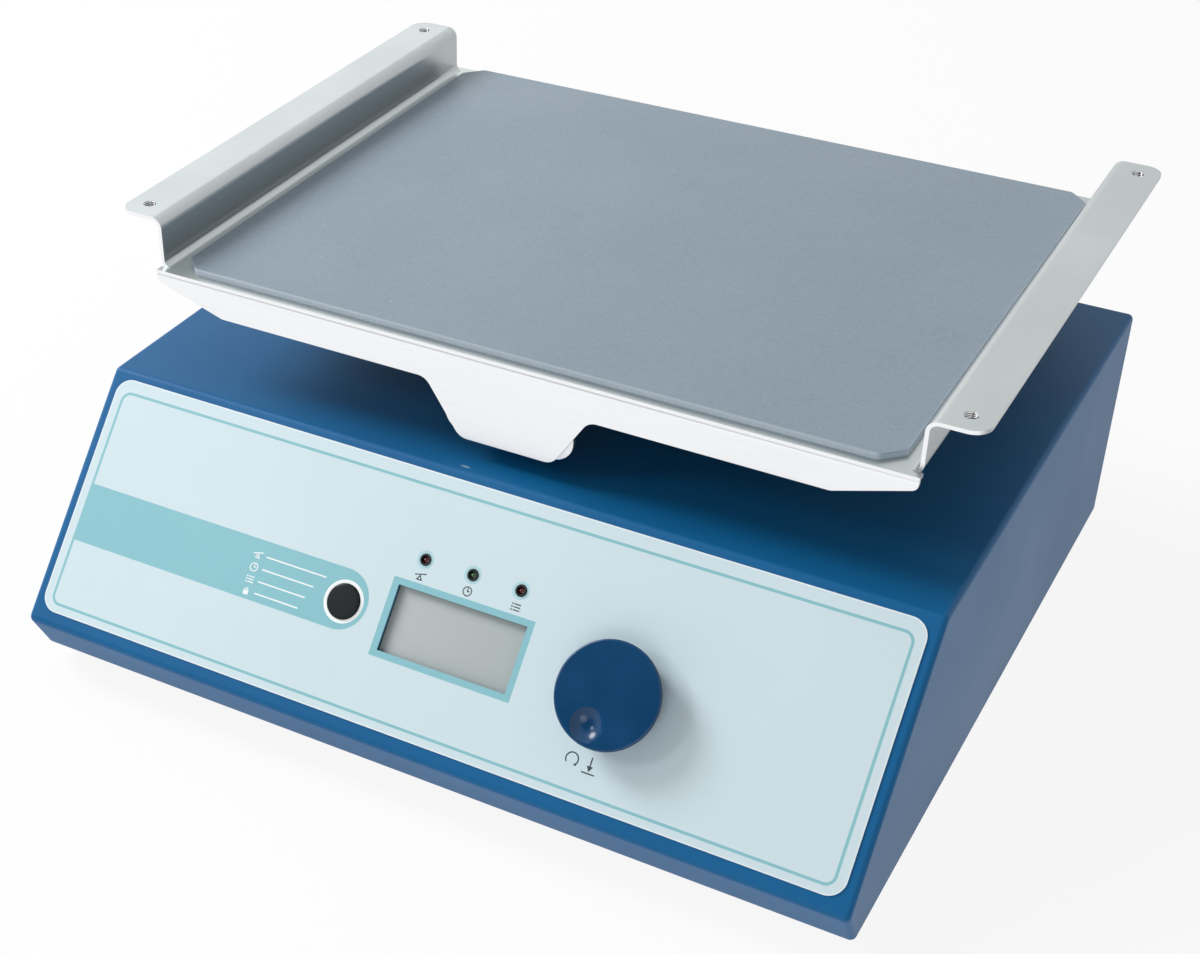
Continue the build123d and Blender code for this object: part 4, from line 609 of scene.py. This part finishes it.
class Ink:
    """Collects flat strokes, rings and discs on one face, sizes in millimetres."""

    def __init__(self, face=on_panel, lift=INK_LIFT):
        self.mesh = bmesh.new()
        self.face = face
        self.lift = lift

    def slab(self, outline):
        """A closed thin slab over an outline that turns anticlockwise."""
        top = self.lift + INK_THICKNESS
        low = [self.mesh.verts.new(self.face(x * MM, v * MM, self.lift)) for x, v in outline]
        high = [self.mesh.verts.new(self.face(x * MM, v * MM, top)) for x, v in outline]
        self.mesh.faces.new(high)
        self.mesh.faces.new(low[::-1])
        for i in range(len(outline)):
            j = (i + 1) % len(outline)
            self.mesh.faces.new((low[i], low[j], high[j], high[i]))

    def stroke(self, start, end, width):
        """A straight stroke with round ends."""
        angle = atan2(end[1] - start[1], end[0] - start[0])
        outline = []
        for centre, turn in ((end, angle - pi / 2), (start, angle + pi / 2)):
            for step in range(7):
                a = turn + pi * step / 6
                outline.append((centre[0] + width / 2 * cos(a), centre[1] + width / 2 * sin(a)))
        self.slab(outline)

    def arc(self, centre, radius, start, end, width, steps=14):
        """A bent stroke between two angles in degrees."""
        angles = [radians(start + (end - start) * i / steps) for i in range(steps + 1)]
        for a, b in zip(angles, angles[1:]):
            inner, outer = radius - width / 2, radius + width / 2
            self.slab([
                (centre[0] + inner * cos(a), centre[1] + inner * sin(a)),
                (centre[0] + outer * cos(a), centre[1] + outer * sin(a)),
                (centre[0] + outer * cos(b), centre[1] + outer * sin(b)),
                (centre[0] + inner * cos(b), centre[1] + inner * sin(b)),
            ])

    def disc(self, centre, radius):
        angles = [2 * pi * i / DISC_SIDES for i in range(DISC_SIDES)]
        self.slab([(centre[0] + radius * cos(a), centre[1] + radius * sin(a)) for a in angles])

    def seesaw(self, x, v, size, width):
        """A tilting platform on a point."""
        self.stroke((x - size, v + size * 0.05), (x + size, v + size * 0.55), width)
        self.stroke((x, v + size * 0.1), (x - size * 0.4, v - size * 0.6), width)
        self.stroke((x, v + size * 0.1), (x + size * 0.4, v - size * 0.6), width)
        self.stroke((x - size * 0.5, v - size * 0.65), (x + size * 0.5, v - size * 0.65), width)

    def clock(self, x, v, size, width):
        self.arc((x, v), size * 0.85, 0, 360, width, 24)
        self.stroke((x, v), (x, v + size * 0.55), width)
        self.stroke((x, v), (x + size * 0.4, v), width)

    def steps(self, x, v, size, width):
        """Three lines of a list, each with its dot."""
        for row in (-0.6, 0.0, 0.6):
            self.disc((x - size * 0.8, v + row * size), width * 0.75)
            self.stroke((x - size * 0.35, v + row * size), (x + size * 0.9, v + row * size), width)

    def padlock(self, x, v, size, width):
        self.slab([(x - size * 0.6, v - size * 0.8), (x + size * 0.6, v - size * 0.8),
                   (x + size * 0.6, v + size * 0.1), (x - size * 0.6, v + size * 0.1)])
        self.arc((x, v + size * 0.1), size * 0.42, 0, 180, width)

    def turn_arrow(self, x, v, size, width, start, end):
        """An arc that turns clockwise, with an arrow head at its end."""
        self.arc((x, v), size, start, end, width, 18)
        a = radians(end)
        tip = (x + size * cos(a - 0.34), v + size * sin(a - 0.34))
        inner = (x + size * 0.72 * cos(a), v + size * 0.72 * sin(a))
        outer = (x + size * 1.28 * cos(a), v + size * 1.28 * sin(a))
        self.slab([outer, inner, tip])

    def piece(self, name, finish, body="base"):
        bmesh.ops.recalc_face_normals(self.mesh, faces=self.mesh.faces)
        mesh = bpy.data.meshes.new(name)
        self.mesh.to_mesh(mesh)
        self.mesh.free()
        return piece(name, mesh, body, finish)


dark_ink = grained("dark_printing_ink", "3d4c53", "35434a", 0.42, 3000.0, 0.000004)
white_ink = grained("white_printing_ink", "f3f7f7", "e9eff0", 0.42, 3000.0, 0.000004)

# Under the lamps what each stands for, and under the knob a turning and a pushing arrow
CAPTION_V = 65.4
LINE = 0.42
BOLD_LINE = 0.5
PUSH_X = 71.6
captions = Ink()
captions.seesaw(LAMPS_X[0] / MM, CAPTION_V, 2.2, LINE)
captions.clock(LAMPS_X[1] / MM, CAPTION_V, 2.0, LINE)
captions.steps(LAMPS_X[2] / MM, CAPTION_V, 1.9, LINE)
captions.turn_arrow(64.3, 20.4, 2.4, BOLD_LINE, 220, -40)
captions.stroke((PUSH_X, 23.0), (PUSH_X, 19.6), BOLD_LINE)
captions.slab([(71.6, 17.8), (72.8, 19.9), (70.4, 19.9)])
captions.stroke((69.2, 17.2), (74.0, 17.2), BOLD_LINE)
captions.piece("printed_captions", dark_ink)

# The four functions of the mode button, each with a lead line towards it
MODE_ROWS = ((53.8, -52.5), (48.7, -56.5), (43.8, -58.5), (39.1, -60.0))
MODE_SYMBOL_X = -83.5
MODE_LINE_X = -79.5
modes = Ink()
for v, end_x in MODE_ROWS:
    modes.stroke((MODE_LINE_X, v), (end_x, v), 0.55)
modes.seesaw(MODE_SYMBOL_X, MODE_ROWS[0][0], 2.0, LINE)
modes.clock(MODE_SYMBOL_X, MODE_ROWS[1][0], 1.9, LINE)
modes.steps(MODE_SYMBOL_X, MODE_ROWS[2][0], 1.8, LINE)
modes.padlock(MODE_SYMBOL_X, MODE_ROWS[3][0], 1.9, LINE)
modes.piece("printed_mode_marks", white_ink)

# The mains rocker: a vertical lower half, and an upper half that leans out by twice its tilt.
# The half height taken from its box is 0.7 mm too long, so both marks lie under its faces,
# by 0.4 and 0.6 mm, and don't show.
ROCKER_TILT = radians(10)
ROCKER_LIFT = 0.01 * MM
rocker_low, rocker_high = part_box("mains_rocker")
rocker_half = (rocker_high.z - rocker_low.z) / 2 / cos(ROCKER_TILT)
rocker_y = rocker_high.y - 2 * rocker_half * sin(ROCKER_TILT)
rocker_ridge_z = rocker_high.z - rocker_half * cos(2 * ROCKER_TILT) / cos(ROCKER_TILT)
rocker_x = (rocker_low.x + rocker_high.x) / 2


def on_rocker(lean):
    """Places on one half of the rocker: across it, up from its ridge, and out of it."""
    def place(x, v, w):
        return Vector((
            rocker_x - x,
            rocker_y + v * sin(lean) + w * cos(lean),
            rocker_ridge_z + v * cos(lean) - w * sin(lean),
        ))
    return place


mark_v = rocker_half / cos(ROCKER_TILT) / 2 / MM
on_mark = Ink(on_rocker(0), ROCKER_LIFT)
on_mark.stroke((0, -mark_v - 1.5), (0, -mark_v + 1.5), 0.7)
on_mark.piece("rocker_on_mark", white_ink, "power_key")
off_mark = Ink(on_rocker(2 * ROCKER_TILT), ROCKER_LIFT)
off_mark.arc((0, mark_v), 1.4, 0, 360, 0.6, 24)
off_mark.piece("rocker_off_mark", white_ink, "power_key")


def thread_ridges():
    """The helical ridges cut in the four tapped holes of the tray flanges."""
    group = bpy.data.node_groups.new("tapped_threads", "GeometryNodeTree")
    inputs = {
        "Spacing X": FLANGE_HOLE_SPACING[0],
        "Spacing Y": FLANGE_HOLE_SPACING[1],
        "Ridge Radius": FLANGE_HOLE_RADIUS - 0.12 * MM,
        "Ridge Size": 0.34 * MM,
        "Pitch": 0.8 * MM,
        "Depth": 3.2 * MM,
    }
    for label, value in inputs.items():
        socket = group.interface.new_socket(label, in_out="INPUT", socket_type="NodeSocketFloat")
        socket.default_value = value
    group.interface.new_socket("Material", in_out="INPUT", socket_type="NodeSocketMaterial")
    group.interface.new_socket("Threads", in_out="OUTPUT", socket_type="NodeSocketGeometry")
    tree = Tree(group)
    given = tree.add("NodeGroupInput").outputs
    result = tree.add("NodeGroupOutput")
    holes = tree.add("GeometryNodeMeshGrid", {
        "Size X": given["Spacing X"], "Size Y": given["Spacing Y"], "Vertices X": 2, "Vertices Y": 2,
    })
    spiral = tree.add("GeometryNodeCurveSpiral", {
        "Resolution": 24,
        "Rotations": tree.math("DIVIDE", given["Depth"], given["Pitch"]),
        "Start Radius": given["Ridge Radius"],
        "End Radius": given["Ridge Radius"],
        "Height": given["Depth"],
    })
    section = tree.add("GeometryNodeCurvePrimitiveCircle", {"Resolution": 4, "Radius": given["Ridge Size"]})
    ridge = tree.add("GeometryNodeCurveToMesh", {
        "Curve": spiral.outputs["Curve"], "Profile Curve": section.outputs["Curve"], "Fill Caps": True,
    })
    placed = tree.add("GeometryNodeInstanceOnPoints", {
        "Points": holes.outputs["Mesh"], "Instance": ridge.outputs["Mesh"],
    })
    solid = tree.add("GeometryNodeRealizeInstances", {"Geometry": placed.outputs["Instances"]})
    finished = tree.add("GeometryNodeSetMaterial", {
        "Geometry": solid.outputs["Geometry"], "Material": given["Material"],
    })
    tree.feed(result.inputs["Threads"], finished.outputs["Geometry"])
    return group


def grown(name, group, values, place):
    """Runs a geometry tree once and keeps its result as a plain mesh, moved to its place."""
    seed = bpy.data.objects.new(name + "_seed", bpy.data.meshes.new(name + "_seed"))
    bpy.context.scene.collection.objects.link(seed)
    modifier = seed.modifiers.new("tree", "NODES")
    modifier.node_group = group
    for item in group.interface.items_tree:
        if item.in_out == "INPUT" and item.name in values:
            modifier[item.identifier] = values[item.name]
    evaluated = seed.evaluated_get(bpy.context.evaluated_depsgraph_get())
    mesh = bpy.data.meshes.new_from_object(evaluated)
    mesh.name = name
    mesh.transform(Matrix.Translation(place))
    bpy.data.objects.remove(seed)
    return mesh


THREAD_DROP = 3.35 * MM
threads = grown(
    "flange_threads",
    thread_ridges(),
    {"Material": polished_steel},
    (0, tray_centre_y, tray_high.z - THREAD_DROP),
)
piece("flange_threads", threads, "rocking_tray", polished_steel)


# Studio: a pale floor, a white room and four soft lamps
FLOOR_REACH = 6.0
FLOOR_DROP = 0.0002
FLOOR_GLOW = 0.88


def floor_finish():
    """A pale matt floor that the camera and reflections see as nearly white."""
    made = bpy.data.materials.new("pale_floor")
    made.use_nodes = True
    tree = Tree(made.node_tree)
    made.node_tree.nodes.remove(made.node_tree.nodes["Principled BSDF"])
    light = tree.add("ShaderNodeLightPath").outputs
    reflected = tree.math("MAXIMUM", light["Is Glossy Ray"], light["Is Transmission Ray"])
    seen = tree.math("MAXIMUM", light["Is Camera Ray"], reflected)
    matt = tree.add("ShaderNodeBsdfDiffuse", {"Color": paint("f4f4f4")})
    glow = tree.add("ShaderNodeEmission", {"Color": (1, 1, 1, 1), "Strength": 1.0})
    mixed = tree.add("ShaderNodeMixShader")
    tree.feed(mixed.inputs[0], tree.math("MULTIPLY", seen, FLOOR_GLOW))
    tree.feed(mixed.inputs[1], matt.outputs["BSDF"])
    tree.feed(mixed.inputs[2], glow.outputs["Emission"])
    tree.feed(made.node_tree.nodes["Material Output"].inputs["Surface"], mixed.outputs["Shader"])
    return made


corners = [
    (x * FLOOR_REACH, y * FLOOR_REACH, -FLOOR_DROP) for x, y in ((-1, -1), (1, -1), (1, 1), (-1, 1))
]
floor_mesh = bpy.data.meshes.new("floor")
floor_mesh.from_pydata(corners, [], [(0, 1, 2, 3)])
floor_mesh.materials.append(floor_finish())
floor = bpy.data.objects.new("floor", floor_mesh)
bpy.context.scene.collection.objects.link(floor)

# The room is white, but its ceiling is dim where the sloping front would mirror it
DIM_CEILING = Vector((-0.30, -0.74, 0.60)).normalized()
DIM_FROM = 0.80
DIM_FULL = 0.93
DIM_LEVEL = 0.08
ROOM_FILL = 0.37
room = bpy.data.worlds.new("studio_room")
room.use_nodes = True
bpy.context.scene.world = room
air = Tree(room.node_tree)
path = air.add("ShaderNodeLightPath").outputs
direction = air.vector("NORMALIZE", air.add("ShaderNodeTexCoord").outputs["Generated"])
toward_ceiling = air.vector("DOT_PRODUCT", direction, tuple(DIM_CEILING))
reflected = air.math("MAXIMUM", path["Is Glossy Ray"], path["Is Transmission Ray"])
mirrored = air.math("MULTIPLY", air.ramp(toward_ceiling, DIM_FROM, DIM_FULL, 1.0, DIM_LEVEL), reflected)
background = room.node_tree.nodes["Background"]
background.inputs["Color"].default_value = (1, 1, 1, 1)
lit = air.math("MULTIPLY", path["Is Diffuse Ray"], ROOM_FILL)
strength = air.math("MAXIMUM", path["Is Camera Ray"], air.math("MAXIMUM", mirrored, lit))
air.feed(background.inputs["Strength"], strength)


LOOK_AT = (0, 0, 0.09)


def soft_lamp(name, place, size, power):
    """A round lamp of one size and power, turned towards the object."""
    data = bpy.data.lights.new(name, "AREA")
    data.shape = "DISK"
    data.size = size
    data.energy = power
    lamp = bpy.data.objects.new(name, data)
    lamp.location = place
    lamp.rotation_euler = (Vector(LOOK_AT) - Vector(place)).to_track_quat("-Z", "Y").to_euler()
    bpy.context.scene.collection.objects.link(lamp)


soft_lamp("key_lamp", (-1.82, -0.25, 1.62), 1.0, 43)
soft_lamp("glint_lamp", (-1.41, -1.41, 1.43), 0.5, 7)
soft_lamp("front_lamp", (0.5, -2.2, 0.75), 1.2, 8)
soft_lamp("back_lamp", (-1.3, 1.5, 1.2), 1.2, 1.7)

# Camera at the photograph's viewing angle, worked out for an image of 1200 x 954
IMAGE = (1200, 954)
FOCAL_PIXELS = 2029.9
CENTRE_PIXELS = (464.8, 544.1)
CAMERA_TURN = radians(29.656)
CAMERA_RISE = radians(34.838)
CAMERA_ROLL = radians(-0.413)
HOUSING_RIM_Z = 0.008
CAMERA_PLACE = Vector((0.30357, NOSE_Y - 0.48316, HOUSING_RIM_Z + 0.50914))
SENSOR_WIDTH = 36

backward = Vector((
    sin(CAMERA_TURN) * cos(CAMERA_RISE),
    -cos(CAMERA_TURN) * cos(CAMERA_RISE),
    sin(CAMERA_RISE),
))
level_right = (-backward).cross(Vector((0, 0, 1))).normalized()
level_up = level_right.cross(-backward)
right = level_right * cos(CAMERA_ROLL) + level_up * sin(CAMERA_ROLL)
up = level_up * cos(CAMERA_ROLL) - level_right * sin(CAMERA_ROLL)
lens = bpy.data.cameras.new("photo_camera")
lens.sensor_fit = "HORIZONTAL"
lens.sensor_width = SENSOR_WIDTH
lens.lens = FOCAL_PIXELS * SENSOR_WIDTH / IMAGE[0]
lens.shift_x = (IMAGE[0] / 2 - CENTRE_PIXELS[0]) / IMAGE[0]
lens.shift_y = (CENTRE_PIXELS[1] - IMAGE[1] / 2) / IMAGE[0]
camera = bpy.data.objects.new("photo_camera", lens)
camera.matrix_world = Matrix.Translation(CAMERA_PLACE) @ Matrix((right, up, backward)).transposed().to_4x4()
bpy.context.scene.collection.objects.link(camera)
bpy.context.scene.camera = camera
bpy.context.scene.view_settings.view_transform = "Standard"
